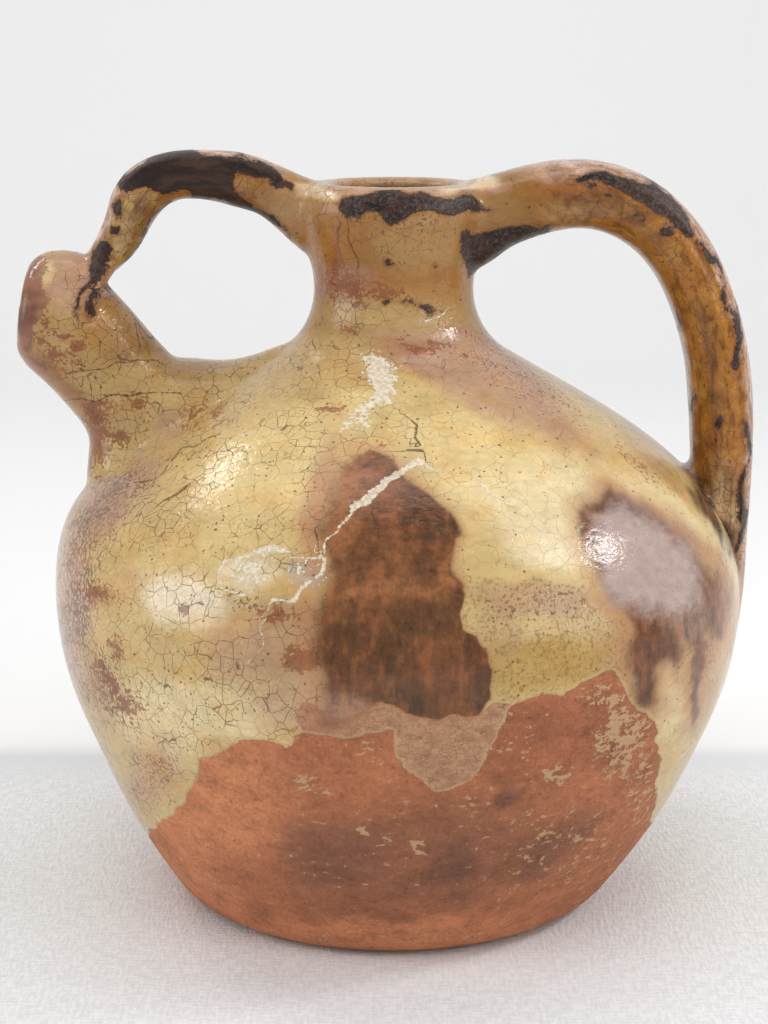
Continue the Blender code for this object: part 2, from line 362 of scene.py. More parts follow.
def shapeClay():
    form = throwPot()
    # name, stations, sides, steps and squareness
    lumps = [
        ("spout lump", spout["stations"], 40, 30),
        ("saddle lump", spout["saddle"], 28, 16),
        ("chin lump", spout["chin"], 28, 14),
        ("brow lump", spout["brow"], 24, 12),
        ("bridge lump", bridge["stations"], 32, 52, 2.3),
        ("tail lump", bridge["tail"], 16, 14),
        ("handle lump", handle["stations"], 36, 60, 2.6),
    ]
    for lump in lumps:
        pressOn(form, pullStrap(*lump))
    for plug in (throatPlug(), pullStrap("bore plug", spout["bore"], 32, 20)):
        cutAway(form, plug)
        discard(plug)
    form.name = "clay_form"
    return form


form = shapeClay()
print("clay shaped", len(form.data.polygons))
applyModifier(form, "REMESH", mode="VOXEL", voxel_size=clay["grain"])
applyModifier(form, "SMOOTH", factor=clay["smoothing"], iterations=clay["rounds"])
print("clay refined", len(form.data.polygons))

# Ridges and grooves pulled along the straps: how high on the face, breadth, rise in millimetres
handle["grooves"] = [
    (0.60, 0.08, 0.35), (0.42, 0.09, -0.4), (-0.05, 0.06, -0.28), (-0.45, 0.05, -0.18),
    (-0.84, 0.06, -0.2),
]
bridge["grooves"] = [
    (0.74, 0.10, 0.35), (0.50, 0.12, -0.3), (-0.10, 0.07, -0.2), (-0.66, 0.10, -0.3),
]

# Where a thumb worked the handle's lower end into the pot, from no work to full work
thumb = {
    "low": (40 * mm, 52 * mm),
    "high": (92 * mm, 78 * mm),
    "out": (66 * mm, 74 * mm),
    "least": 0.02,
    "rounds": 26,
}


def smoothStep(low, high, value):
    t = np.clip((value - low) / (high - low), 0, 1)
    return t * t * (3 - 2 * t)


def strapPlaces(points, stations):
    # How high (outer side 1, inner side -1), how wide and how far along a strap each point lies
    rows = smoothLine(stations, 140) * mm
    along, across = strapAxes(rows)
    upward = np.cross(along, across) * np.sign(rows[-1, 0])
    index = ((points[:, None, :] - rows[None, :, :3]) ** 2).sum(2).argmin(1)
    offset = points - rows[index, :3]
    onward = (offset * along[index]).sum(1)
    high = (offset * upward[index]).sum(1) / rows[index, 3]
    wide = offset[:, 1] / rows[index, 4]
    run = np.concatenate([[0], np.cumsum(np.linalg.norm(np.diff(rows[:, :3], axis=0), axis=1))])
    return high, wide, run[index] + onward, run[-1]


def pressGrooves(item, strap):
    points = readPoints(item)
    outward = points[:, 0] * np.sign(strap["stations"][-1][0])
    chosen = np.flatnonzero((outward > 20 * mm) & (points[:, 2] > 60 * mm))
    high, wide, run, length = strapPlaces(points[chosen], strap["stations"])
    close = (np.abs(high) < 1.25) & (np.abs(wide) < 1.15)
    marks = strap["grooves"]
    depth = sum(amount * np.exp(-((high - place) / breadth) ** 2) for place, breadth, amount in marks)
    face = smoothStep(0.45, 0.8, np.abs(wide)) * smoothStep(16 * mm, 30 * mm, run)
    face *= smoothStep(12 * mm, 30 * mm, length - run) * close
    points[chosen, 1] += np.sign(wide) * depth * face * mm
    writePoints(item, points)


def smoothFoot(item):
    points = readPoints(item)
    x, z = points[:, 0], points[:, 2]
    weights = smoothStep(*thumb["low"], z) * smoothStep(*thumb["high"], z) * smoothStep(*thumb["out"], x)
    group = item.vertex_groups.new(name="foot")
    for index in np.flatnonzero(weights > thumb["least"]):
        group.add([int(index)], float(weights[index]), "REPLACE")
    applyModifier(item, "SMOOTH", factor=clay["smoothing"], iterations=thumb["rounds"], vertex_group="foot")
    item.vertex_groups.clear()


smoothFoot(form)
pressGrooves(form, handle)
pressGrooves(form, bridge)
print("straps grooved")

# Camera at the photograph's viewing angle

view = {
    "place": (-0.00364, -0.5435, 0.22284),
    "downward": 12.8,
    "lens": 75.4,
    "sensor": 36,
    "photoWidth": 768,
    "photoHeight": 1024,
}

bpy.ops.object.camera_add(location=view["place"], rotation=(math.radians(90 - view["downward"]), 0, 0))
camera = bpy.context.object
camera.data.lens = view["lens"]
bpy.context.scene.camera = camera

# Pieces of the pitcher, parted along hidden joints that meet exactly

joints = {
    "inset": 2.6 * mm,
    "grow": 2.4 * mm,
    # (radius, height) of the surface that parts neck and straps
    "neckSleeve": [(28.5, 146.5), (25.8, 150), (23.6, 156), (23.6, 162), (24.6, 168), (26.0, 174.5)],
    "rimSleeve": [(26.0, 174.5), (26.2, 179), (26.2, 200)],
    "bridge": [
        (-10, 0, 172, 12, 13), (-20.5, 0, 175.6, 12, 12.5), (-32.3, 0, 182.3, 9.8, 11.5),
        (-48.5, 0, 186.2, 9.2, 10.4), (-62.6, 0, 183.3, 9.5, 10.2), (-68.4, 0, 174.3, 9, 10),
        (-72.2, 0, 167.6, 8.6, 10),
    ],
    "spout": [
        (-69, 0, 130.8, 26, 26), (-76, 0, 138.8, 26, 26), (-100, 0, 163, 26, 26), (-112, 0, 172, 26, 26),
    ],
    "collar": [
        (-30, 0, 88, 27.5, 27.5), (-62, 0, 123, 27.5, 27.5), (-76, 0, 138.8, 27.5, 27.5),
    ],
}


def potInset():
    inner = insetOutline(joints["inset"])
    radius, height = inner[0]
    outline = [(radius - 1 * mm, height - 0.1 * mm)] + [tuple(point) for point in inner[::2]]
    return leanPot(throwForm("pot inset", outline, 96))


def sleeve(name, outline):
    return leanNeck(throwForm(name, [(radius * mm, height * mm) for radius, height in outline], 64))


def partClay(form):
    inset = potInset()
    handleTube = pullStrap("handle tube", handle["stations"], 28, 40, 2.4, joints["grow"])
    collarTube = pullStrap("collar tube", joints["collar"], 48, 8)
    for tube in (handleTube, collarTube):
        cutAway(tube, inset)
    cutters = {
        "glazed_neck": sleeve("neck sleeve", joints["neckSleeve"]),
        "glazed_rim": sleeve("rim sleeve", joints["rimSleeve"]),
        "glazed_handle": handleTube,
        "glazed_bridge": pullStrap("bridge tube", joints["bridge"], 28, 24, 2.4),
        "glazed_spout": pullStrap("spout tube", joints["spout"], 48, 8),
        "glazed_collar": collarTube,
    }
    rest = duplicate(form, "glazed_body")
    room = hollow()
    bore = pullStrap("bore", spout["bore"][:4], 32, 14, 2.0, -0.1 * mm)
    for cutter in (room, bore):
        cutAway(rest, cutter, "MANIFOLD")
    discard(inset, room, bore)
    pieces = {}
    for name, cutter in cutters.items():
        pieces[name] = duplicate(rest, name)
        keepInside(pieces[name], cutter)
        cutAway(rest, cutter, "MANIFOLD")
        discard(cutter)
    pieces["glazed_body"] = rest
    return pieces


pieces = partClay(form)
for name, piece in pieces.items():
    onlySelect(piece)
    bpy.ops.object.shade_smooth_by_angle(angle=clay["seamSharpness"])
    print(name, len(piece.data.vertices), "points", len(piece.data.polygons), "faces")
discard(form)
print("pieces parted")

# Colours of clay and glaze, as plain daylight shows them; the pale lilac and shell colours also stand in
# for painted sheen and highlights

palette = {
    "paleYellow": (0.74, 0.56, 0.26),
    "creamYellow": (0.79, 0.64, 0.37),
    "glazeYellow": (0.60, 0.43, 0.185),
    "ochreYellow": (0.53, 0.36, 0.15),
    "cream": (0.82, 0.68, 0.47),
    "tan": (0.44, 0.28, 0.14),
    "orangeTan": (0.60, 0.34, 0.15),
    "pinkTan": (0.51, 0.32, 0.20),
    "rosy": (0.38, 0.20, 0.13),
    "mauve": (0.31, 0.20, 0.15),
    "plum": (0.185, 0.085, 0.056),
    "lilacSheen": (0.46, 0.38, 0.37),
    "ironBrown": (0.175, 0.058, 0.022),
    "rustOrange": (0.31, 0.118, 0.044),
    "blackBrown": (0.070, 0.027, 0.013),
    "deepBrown": (0.095, 0.030, 0.013),
    "redBrown": (0.27, 0.085, 0.045),
    "amber": (0.39, 0.152, 0.022),
    "ochreBrown": (0.30, 0.145, 0.037),
    "darkAmber": (0.13, 0.05, 0.017),
    "olive": (0.50, 0.32, 0.088),
    "flesh": (0.50, 0.30, 0.20),
    "shellSheen": (0.62, 0.44, 0.34),
    "manganese": (0.040, 0.030, 0.027),
    "terracotta": (0.43, 0.155, 0.070),
    "paleClay": (0.58, 0.225, 0.10),
    "darkClay": (0.17, 0.075, 0.045),
}

# Soft strokes in photograph pixels: colour, centre x, y, half length, breadth, turn, strength, softness
nearWash = [
    ("paleYellow", 300, 450, 110, 55, -30, 0.9, 0.7), ("ochreYellow", 300, 375, 120, 28, -10, 0.8, 0.7),
    ("tan", 250, 372, 60, 14, -8, 0.4, 0.8), ("paleYellow", 245, 480, 60, 40, -40, 0.8, 0.8),
    ("glazeYellow", 170, 540, 60, 50, 0, 0.8, 0.8), ("pinkTan", 112, 500, 62, 24, -42, 0.6, 0.8),
    ("mauve", 108, 506, 50, 16, -42, 0.35, 0.9), ("pinkTan", 150, 462, 44, 14, -40, 0.35, 0.9),
    ("paleYellow", 210, 560, 70, 34, -10, 0.45, 0.9), ("cream", 186, 604, 40, 27, 10, 0.9, 0.45),
    ("orangeTan", 125, 588, 16, 18, 0, 0.6, 0.8), ("rosy", 92, 596, 20, 10, 10, 0.5, 0.8),
    ("pinkTan", 66, 610, 16, 90, 0, 0.6, 0.8), ("rosy", 84, 660, 18, 60, -18, 0.3, 0.9),
    # the pale shell stroke at 70, 610 is painted rim light along the pot's left edge
    ("shellSheen", 70, 610, 16, 80, 0, 0.55, 0.9), ("glazeYellow", 165, 660, 60, 40, 10, 0.8, 0.8),
    ("creamYellow", 160, 720, 50, 36, 30, 0.8, 0.8), ("pinkTan", 238, 650, 30, 40, 0, 0.7, 0.9),
    ("creamYellow", 215, 712, 70, 26, 10, 0.7, 0.8), ("pinkTan", 150, 775, 26, 40, 20, 0.5, 0.9),
    ("orangeTan", 152, 780, 14, 26, 0, 0.4, 0.9), ("rosy", 290, 640, 40, 44, 0, 0.6, 0.8),
    ("pinkTan", 300, 706, 46, 30, 0, 0.7, 0.8), ("ochreYellow", 355, 425, 60, 20, 0, 0.4, 0.9),
    # the pale lilac stroke at 302, 574 is a painted sheen
    ("cream", 250, 574, 26, 18, 0, 0.6, 0.7), ("lilacSheen", 302, 574, 20, 14, -8, 0.6, 0.7),
    ("rosy", 322, 500, 16, 60, 8, 0.5, 0.9), ("rosy", 450, 352, 74, 30, 12, 1.0, 0.8),
    ("rosy", 510, 378, 60, 14, 30, 0.45, 0.9), ("redBrown", 430, 346, 30, 12, 8, 0.35, 0.9),
    ("pinkTan", 500, 390, 110, 34, 32, 0.85, 0.8), ("rosy", 560, 412, 60, 16, 38, 0.4, 0.9),
    ("paleYellow", 500, 470, 70, 40, 10, 0.95, 0.8), ("paleYellow", 440, 432, 50, 24, 0, 0.8, 0.8),
    ("creamYellow", 560, 515, 70, 50, 20, 1.0, 0.9), ("cream", 545, 545, 40, 22, 0, 0.5, 0.9),
    ("creamYellow", 655, 500, 60, 16, 36, 0.7, 0.8), ("glazeYellow", 610, 440, 70, 16, 40, 0.6, 0.8),
    # the blackBrown stroke at 712, 517 is painted shade in the crease where the handle's foot meets the
    # body
    ("tan", 655, 462, 60, 7, 44, 0.6, 0.9), ("blackBrown", 712, 517, 54, 6, 62, 1.0, 0.8),
    ("glazeYellow", 545, 640, 80, 50, 0, 0.8, 0.6), ("olive", 545, 665, 80, 26, -4, 0.9, 0.7),
    ("rosy", 540, 600, 70, 16, 4, 0.5, 0.9), ("rosy", 500, 640, 26, 30, 0, 0.3, 0.9),
    ("glazeYellow", 650, 660, 50, 60, 0, 0.4, 0.9), ("glazeYellow", 690, 720, 30, 80, 20, 0.8, 0.9),
    ("pinkTan", 715, 640, 14, 60, 10, 0.5, 0.9), ("creamYellow", 732, 560, 10, 60, 4, 0.6, 0.8),
    ("creamYellow", 672, 690, 12, 44, 6, 0.6, 0.8), ("rosy", 640, 640, 44, 54, 0, 0.4, 0.9),
    ("rosy", 655, 520, 66, 12, 32, 0.55, 0.9), ("mauve", 618, 506, 38, 10, 14, 0.5, 0.9),
    ("rosy", 722, 596, 12, 40, -6, 0.6, 0.9), ("mauve", 697, 676, 5, 46, 2, 0.9, 0.7),
    ("plum", 694, 712, 4, 16, 4, 0.8, 0.8),
    # neck and rim
    ("ochreBrown", 395, 235, 110, 60, 0, 1.0, 0.5), ("tan", 400, 205, 110, 26, 0, 0.45, 0.6),
    ("amber", 395, 232, 70, 26, 0, 0.35, 0.9), ("amber", 335, 235, 36, 44, 20, 0.4, 0.9),
    ("glazeYellow", 420, 250, 44, 30, 0, 0.35, 0.9), ("rosy", 350, 288, 40, 20, 14, 0.7, 0.8),
    ("ochreYellow", 400, 310, 80, 24, 0, 0.75, 0.8), ("tan", 470, 300, 16, 40, 0, 0.5, 0.9),
    ("amber", 420, 284, 56, 20, 0, 0.45, 0.9), ("flesh", 395, 186, 110, 8, 0, 0.95, 0.4),
    ("cream", 315, 193, 24, 8, 12, 0.8, 0.5), ("cream", 470, 184, 26, 6, -6, 0.7, 0.6),
    ("tan", 290, 205, 30, 34, 30, 0.5, 0.8),
    # spout and the clay round its foot
    ("ochreBrown", 110, 350, 110, 80, 30, 0.9, 0.5), ("ochreYellow", 60, 345, 50, 50, 0, 0.6, 0.8),
    ("glazeYellow", 140, 400, 60, 40, 0, 0.55, 0.8), ("tan", 190, 362, 40, 12, 10, 0.6, 0.8),
    ("flesh", 70, 275, 34, 34, 0, 0.8, 0.7), ("flesh", 85, 262, 20, 14, 0, 0.6, 0.8),
    ("paleYellow", 43, 272, 7, 13, 10, 0.6, 0.8), ("tan", 130, 310, 20, 30, -40, 0.5, 0.9),
    ("amber", 100, 320, 16, 30, 30, 0.4, 0.9), ("plum", 25, 300, 12, 52, 4, 0.95, 0.4),
    ("redBrown", 60, 385, 60, 8, 42, 0.5, 0.8), ("glazeYellow", 215, 410, 90, 34, -20, 0.5, 0.9),
    ("pinkTan", 168, 425, 18, 14, 0, 0.5, 0.8),
]

farWash = [
    ("paleYellow", 300, 430, 160, 60, 0, 0.8, 0.8), ("ochreYellow", 520, 420, 120, 50, 20, 0.8, 0.9),
    ("creamYellow", 420, 540, 120, 70, 0, 0.7, 0.9), ("mauve", 90, 560, 40, 110, 0, 0.6, 0.9),
    ("rosy", 250, 620, 90, 70, 0, 0.6, 0.9), ("pinkTan", 560, 640, 110, 60, 0, 0.7, 0.9),
    ("cream", 330, 520, 40, 24, 10, 0.7, 0.6), ("glazeYellow", 690, 640, 50, 110, 0, 0.7, 0.9),
    ("creamYellow", 200, 720, 80, 40, 10, 0.7, 0.8),
]

clayWash = [
    ("paleClay", 215, 800, 70, 60, -20, 0.8, 0.8), ("darkClay", 420, 860, 130, 54, -8, 0.55, 0.9),
    ("darkClay", 330, 850, 50, 34, 10, 0.5, 0.9), ("darkClay", 452, 866, 26, 18, -20, 0.7, 0.8),
    ("darkClay", 508, 796, 16, 12, 0, 0.7, 0.8), ("darkClay", 560, 845, 50, 16, -40, 0.5, 0.9),
    ("darkClay", 380, 715, 120, 24, 0, 0.35, 0.9), ("redBrown", 560, 730, 90, 40, -10, 0.4, 0.9),
    ("paleClay", 390, 935, 200, 16, 0, 0.8, 0.6), ("paleClay", 200, 880, 60, 16, 38, 0.6, 0.8),
]

brownWash = [
    ("rustOrange", 352, 470, 20, 26, 0, 0.8, 0.9), ("rustOrange", 345, 515, 12, 40, 8, 0.55, 0.9),
    ("redBrown", 385, 490, 26, 14, 35, 0.5, 0.9), ("deepBrown", 425, 518, 36, 20, 42, 0.9, 0.9),
    ("blackBrown", 450, 532, 12, 16, 0, 0.6, 0.8), ("deepBrown", 368, 545, 14, 22, 0, 0.6, 0.9),
    ("deepBrown", 420, 562, 16, 18, 0, 0.7, 0.9), ("rustOrange", 375, 592, 44, 10, -6, 0.6, 0.9),
    ("rustOrange", 450, 572, 10, 18, 10, 0.6, 0.9), ("rustOrange", 430, 595, 16, 8, 0, 0.35, 0.9),
    ("blackBrown", 425, 618, 36, 16, 0, 0.68, 0.9), ("blackBrown", 352, 634, 16, 20, 0, 0.7, 0.9),
    ("blackBrown", 390, 654, 26, 30, 30, 0.75, 0.9), ("deepBrown", 448, 676, 30, 20, 0, 0.4, 0.9),
    ("ironBrown", 440, 680, 34, 18, 0, 0.4, 0.9), ("blackBrown", 400, 700, 28, 14, 14, 0.9, 0.8),
    ("blackBrown", 484, 688, 11, 26, 0, 0.8, 0.8), ("deepBrown", 470, 650, 12, 16, 0, 0.7, 0.8),
    ("deepBrown", 336, 660, 16, 32, 0, 0.7, 0.8), ("rosy", 345, 706, 26, 12, 0, 0.7, 0.8),
    ("deepBrown", 625, 510, 40, 10, 20, 0.7, 0.8), ("deepBrown", 650, 640, 24, 26, 0, 0.6, 0.9),
    ("mauve", 690, 610, 24, 30, 20, 0.6, 0.9), ("deepBrown", 642, 690, 12, 24, 0, 0.8, 0.8),
]

# Violet-brown band that the thin glaze left round the spout's lip
lipBand = [
    (10, 250), (34, 250), (44, 258), (42, 272), (36, 284), (46, 296), (48, 308), (42, 318), (34, 326),
    (26, 338), (20, 348), (44, 372), (40, 380), (0, 350),
]

# Where the glaze has peeled or never took: centre, half length, half breadth, turn, strength
peelWash = [
    (75, 600, 30, 130, 6, 0.5), (102, 680, 30, 60, -20, 0.45), (105, 505, 66, 34, -42, 0.5),
    (150, 780, 26, 50, 30, 0.35), (540, 600, 66, 22, 0, 0.31), (240, 600, 34, 16, 10, 0.32),
    (345, 288, 60, 30, 10, 0.36), (60, 350, 40, 40, 0, 0.35), (120, 420, 60, 34, 0, 0.28),
    (520, 378, 110, 28, 30, 0.32), (640, 468, 54, 12, 44, 0.40), (700, 640, 30, 80, 0, 0.24),
    (620, 555, 22, 12, 0, 0.2), (400, 225, 100, 40, 0, 0.25), (186, 610, 5, 7, 0, 1.2),
    (230, 480, 200, 160, 0, 0.1), (190, 690, 90, 70, 0, 0.14),
]

# Where flakes of old glaze cling to the bare clay
flakeWash = [
    (622, 735, 36, 50, 10, 0.18), (600, 700, 26, 22, 0, 0.15), (556, 778, 24, 14, -8, 0.15),
    (310, 786, 26, 11, 8, 0.17), (418, 845, 13, 9, 0, 0.17), (382, 841, 8, 5, 0, 0.17),
    (361, 833, 7, 7, 0, 0.15), (474, 803, 12, 6, 0, 0.18), (375, 752, 24, 12, 20, 0.09),
    (640, 780, 22, 60, 0, 0.13), (520, 740, 40, 26, -20, 0.07), (250, 850, 60, 60, 20, 0.02),
    (450, 830, 200, 90, 0, 0.02), (560, 850, 70, 60, 0, 0.075), (390, 938, 190, 8, 0, 0.06),
]

# Outlines of what has a plain edge, read from the photograph and given in its pixels
tongueFoot = [
    (391, 743), (402, 761), (411, 775), (428, 782), (439, 793), (456, 789), (472, 780), (481, 764),
    (491, 750), (495, 736),
]
edges = {
    "bareNear": [
        (100, 960), (128, 880), (148, 836), (165, 820), (183, 810), (195, 782), (200, 762), (218, 754),
        (235, 743), (253, 734), (270, 738), (284, 744), (305, 736), (358, 736), (388, 734),
        *tongueFoot,
        (502, 719), (507, 703), (526, 701), (544, 694), (562, 696), (576, 687), (592, 676), (604, 670),
        (617, 672), (630, 700), (645, 712), (656, 726), (661, 750), (658, 778), (653, 799), (650, 822),
        (664, 860), (640, 960),
    ],
    "bareFar": [
        (100, 960), (128, 880), (148, 836), (175, 812), (215, 790), (260, 784), (310, 790), (350, 776),
        (390, 752), (430, 756), (455, 778), (490, 796), (530, 790), (565, 776), (600, 790), (630, 826),
        (664, 860), (640, 960),
    ],
    "brownNear": [
        (342, 464), (357, 452), (375, 450), (384, 454), (396, 466), (407, 479), (422, 491), (440, 504),
        (459, 527), (463, 539), (458, 552), (455, 565), (464, 583), (461, 603), (458, 618), (463, 634),
        (480, 641), (484, 659), (492, 678), (494, 695), (484, 713), (470, 718), (434, 716), (415, 713),
        (396, 707), (383, 700), (352, 716), (324, 722), (317, 669), (318, 611), (327, 573), (324, 535),
        (331, 496),
    ],
    "brownSide": [
        (579, 511), (591, 499), (608, 491), (626, 501), (646, 509), (673, 526), (689, 544), (704, 562),
        (720, 581), (726, 600), (724, 640), (712, 636), (703, 640), (700, 690), (694, 726), (691, 700),
        (693, 650), (686, 640), (679, 668), (663, 660), (654, 672), (657, 690), (662, 705), (648, 712),
        (634, 704), (631, 660), (633, 632), (622, 613), (608, 590), (593, 574), (581, 554), (577, 532),
    ],
    "brownFar": [
        (302, 476), (322, 452), (350, 446), (378, 458), (400, 488), (414, 530), (410, 570), (416, 610),
        (434, 648), (424, 690), (392, 714), (352, 712), (318, 690), (298, 650), (306, 606), (318, 566),
        (308, 520),
    ],
    "tongue": [
        (300, 700), (345, 716), (383, 700), (396, 707), (434, 716), (470, 718), (484, 713), (496, 700),
        (510, 700),
        *tongueFoot[::-1],
        (388, 736), (358, 738), (305, 738), (296, 724),
    ],
    "olive": [
        (466, 577), (491, 578), (520, 583), (540, 581), (571, 585), (587, 601), (608, 617), (626, 630),
        (632, 654), (622, 670), (604, 672), (575, 689), (544, 696), (520, 703), (505, 703), (495, 690),
        (490, 672), (480, 645), (462, 632), (458, 603),
    ],
    # grey-lilac patch over the brown: plum glaze with a painted sheen where a window's reflection falls
    "lilacSheen": [
        (596, 516), (612, 506), (640, 514), (666, 530), (688, 548), (698, 572), (697, 600), (676, 616),
        (645, 612), (618, 602), (603, 578), (594, 546),
    ],
}

# Bare manganese, which the glaze never covered; the patch under the handle is dark glaze with painted shade
# of the recess below the strap
manganese = {
    "outlines": [
        # rim
        [(336, 207), (341, 199), (350, 194), (372, 192), (398, 193), (401, 198), (415, 199), (418, 194),
         (432, 192), (446, 195), (463, 196), (473, 202), (495, 206), (487, 208), (473, 214), (440, 214),
         (418, 214), (405, 218), (393, 222), (385, 217), (379, 212), (371, 211), (363, 218), (352, 219),
         (343, 217), (338, 212)],
        # under the handle: dark glaze with painted shade of the recess below the strap's root
        [(464, 232), (500, 230), (530, 226), (552, 223), (547, 231), (522, 243), (499, 255), (484, 268),
         (470, 272), (465, 264)],
        # outside of the handle
        [(574, 177), (605, 173), (632, 178), (655, 187), (683, 209), (697, 235), (689, 236), (664, 216),
         (639, 200), (611, 187), (577, 183)],
        # bridge
        [(116, 188), (125, 172), (145, 159), (170, 152), (201, 151), (230, 153), (252, 161), (279, 175),
         (290, 188), (288, 191), (268, 183), (246, 173), (235, 168), (233, 174), (238, 195), (257, 204),
         (275, 219), (288, 236), (270, 226), (250, 213), (230, 205), (207, 200), (189, 197), (184, 185),
         (170, 188), (157, 193), (143, 190), (134, 196), (128, 197)],
        # foot of the bridge
        [(97, 246), (104, 245), (113, 252), (114, 262), (109, 270), (103, 277), (99, 284), (95, 278),
         (93, 262), (94, 252)],
    ],
    # x, y, half breadth
    "lines": [
        [(699, 241, 3), (712, 259, 4), (719, 270, 2), (722, 281, 0.5), (728, 298, 3), (731, 310, 1),
         (734, 325, 2.5), (738, 345, 3.5), (740, 366, 3.5), (743, 380, -2), (745, 418, -2),
         (746, 430, 2), (747, 450, 3), (745, 470, 2), (743, 500, 2.5), (740, 530, 3), (735, 553, 2.5)],
        [(168, 200, 2), (157, 214, 2), (146, 234, 1.5), (136, 252, 1), (125, 268, 1), (112, 280, 1.5),
         (104, 287, 2)],
        [(92, 284, 3), (86, 295, 2.5), (82, 305, 1.5), (79, 318, 1)],
        [(100, 286, 2), (94, 300, 2), (90, 312, 2.5), (86, 319, 1)],
    ],
    # centre x, y, half length, half breadth, turn
    "spots": [
        (664, 231, 7, 5, 10), (608, 195, 4, 2.5, 0), (719, 422, 4, 6, 0), (717, 443, 2.5, 4, 0),
        (677, 328, 2.5, 9, 12), (692, 400, 2, 7, 0), (120, 208, 5, 8, 10), (112, 230, 6, 5, 0),
        (590, 189, 5, 2.5, 8), (640, 214, 3, 2, 0), (388, 264, 4, 3, 0), (390, 303, 4, 3, 0),
        (422, 306, 14, 2, 4), (435, 267, 2, 2, 0), (427, 311, 5, 2, 20),
    ],
}

rust = [
    (48, 320, 5, 6, 0), (42, 340, 11, 6, 60), (51, 358, 8, 8, 0), (66, 337, 11, 4, 42),
    (76, 353, 7, 11, -20), (62, 371, 7, 4, 10), (98, 413, 14, 13, 0), (95, 440, 13, 22, 0),
    (120, 440, 13, 11, 0), (134, 400, 11, 5, -20), (194, 415, 4, 16, 36), (215, 412, 4, 10, 50),
    (110, 680, 8, 22, -24), (124, 702, 10, 22, -30), (117, 647, 6, 12, -10), (136, 708, 8, 9, 0),
    (88, 462, 8, 24, 10), (350, 286, 24, 8, 14), (332, 262, 5, 18, 14), (388, 292, 18, 6, 16),
    (350, 330, 7, 4, 0), (226, 421, 8, 4, -20), (95, 592, 20, 9, 16), (300, 660, 20, 14, 0),
    (275, 615, 16, 8, 0), (365, 462, 20, 7, -30), (425, 346, 24, 5, 8), (330, 408, 12, 5, 0),
]

# White chalky deposits in cracks and chips
chalk = {
    "outline": [
        (363, 356), (374, 353), (383, 356), (397, 366), (396, 378), (391, 397), (394, 403), (383, 409),
        (367, 412), (352, 422), (339, 433), (347, 416), (358, 405), (371, 397), (374, 383), (364, 376),
        (355, 372), (367, 366),
    ],
    "lines": [
        [(447, 471, 1), (434, 467, 2), (424, 463, 2), (417, 463, 3), (407, 471, 3.5), (394, 479, 3.5),
         (380, 489, 4), (367, 500, 5), (355, 506, 3.5), (348, 518, 1), (336, 533, 1.2), (325, 548, 1.5),
         (323, 562, 3)],
        [(464, 481, 0.4), (478, 482, 1.2), (493, 497, 1.2), (514, 507, 0.8), (533, 512, 0.4)],
        [(236, 594, 1.5), (223, 589, 1.2), (222, 572, 2), (228, 559, 2), (244, 557, 2), (256, 551, 3),
         (271, 549, 4), (285, 552, 2)],
        [(263, 550, 0.8), (262, 564, 0.8), (255, 580, 0.5)],
        [(285, 560, 1), (307, 559, 0.8), (323, 558, 1.6), (321, 570, 1.8), (305, 582, 1.4),
         (289, 602, 2.4), (271, 600, 1.2), (266, 616, 0.8), (260, 628, 1), (258, 646, 0.6),
         (252, 665, 0.2)],
        [(240, 598, 1.5), (251, 592, 0.8), (256, 588, 0.5)],
        [(258, 617, 1), (259, 650, 0.5)],
        [(424, 322, 1), (449, 309, 1)],
    ],
    "dust": [
        (250, 573, 27, 20, -8), (298, 573, 27, 15, -8), (322, 580, 7, 12, 10), (368, 412, 16, 22, 40),
        (205, 600, 30, 14, 10),
    ],
}

# Dark open cracks
fissures = [
    [(128, 313, 0.7), (136, 320, 0.7), (141, 333, 0.6), (143, 347, 0.3)],
    [(134, 314, 0.8), (148, 328, 0.7), (160, 344, 1.3), (165, 350, 0.3)],
    [(78, 373, 0.6), (98, 370, 0.8), (116, 362, 0.7), (138, 361, 0.6), (161, 360, 0.3)],
    [(67, 403, 0.6), (98, 401, 0.8), (134, 393, 0.7), (156, 392, 0.6), (192, 394, 0.3)],
    [(87, 369, 0.7), (89, 387, 0.6)],
    [(350, 219, 0.6), (352, 253, 0.6), (356, 272, 0.3)],
    [(404, 418, 0.4), (412, 426, 1.1), (413, 440, 1.4), (420, 452, 1.1)],
    [(404, 455, 1.1), (418, 454, 1.4)],
    [(153, 511, 0.6), (183, 486, 1.3)],
    [(128, 486, 0.4), (160, 475, 0.7), (182, 452, 0.6), (196, 444, 0.7), (216, 434, 0.4)],
    [(372, 515, 0.8), (372, 525, 0.7)],
    [(317, 552, 0.8), (321, 535, 0.7)],
]

# How the washes are laid and fade from one region into another
laying = {
    "pixelLimit": 20,
    "lineReach": 14,
    "noLine": -9.0,
    "farWobble": 3,
    "farBand": (-6 * mm, 6 * mm),
    # size, amount and phase of each wave that shifts the painting by some pixels
    "sidewaysDrift": [(23 * mm, 2.2, 0.4), (7 * mm, 0.8, 2.1)],
    "downwardDrift": [(19 * mm, 2.2, 1.3), (8 * mm, 0.8, 0.2)],
    "bandDrift": (9 * mm, 0.05, 0.9),
    "neckHeights": (140 * mm, 156 * mm),
    "neckSide": (-50 * mm, -36 * mm),
    "spoutHeights": (116 * mm, 136 * mm),
    "spoutSide": (-52 * mm, -68 * mm),
    # columns and rows of pixels between which a quality sets in
    "roughColumns": (520, 600),
    "crazedColumns": (470, 320),
    "softColumns": (385, 330),
    "softRows": (600, 570),
    "strapStart": (20 * mm, 38 * mm),
    "mouthRadius": 20.6 * mm,
    "mouthFloor": 172 * mm,
    "throatRadius": 15.5 * mm,
    "throatFloor": 152 * mm,
    "throatShade": (183.4 * mm, 182.2 * mm),
    # offsets that keep the blotches of the two straps and the pot apart
    "sideOffset": 5.4,
    "runOffset": 1480,
}


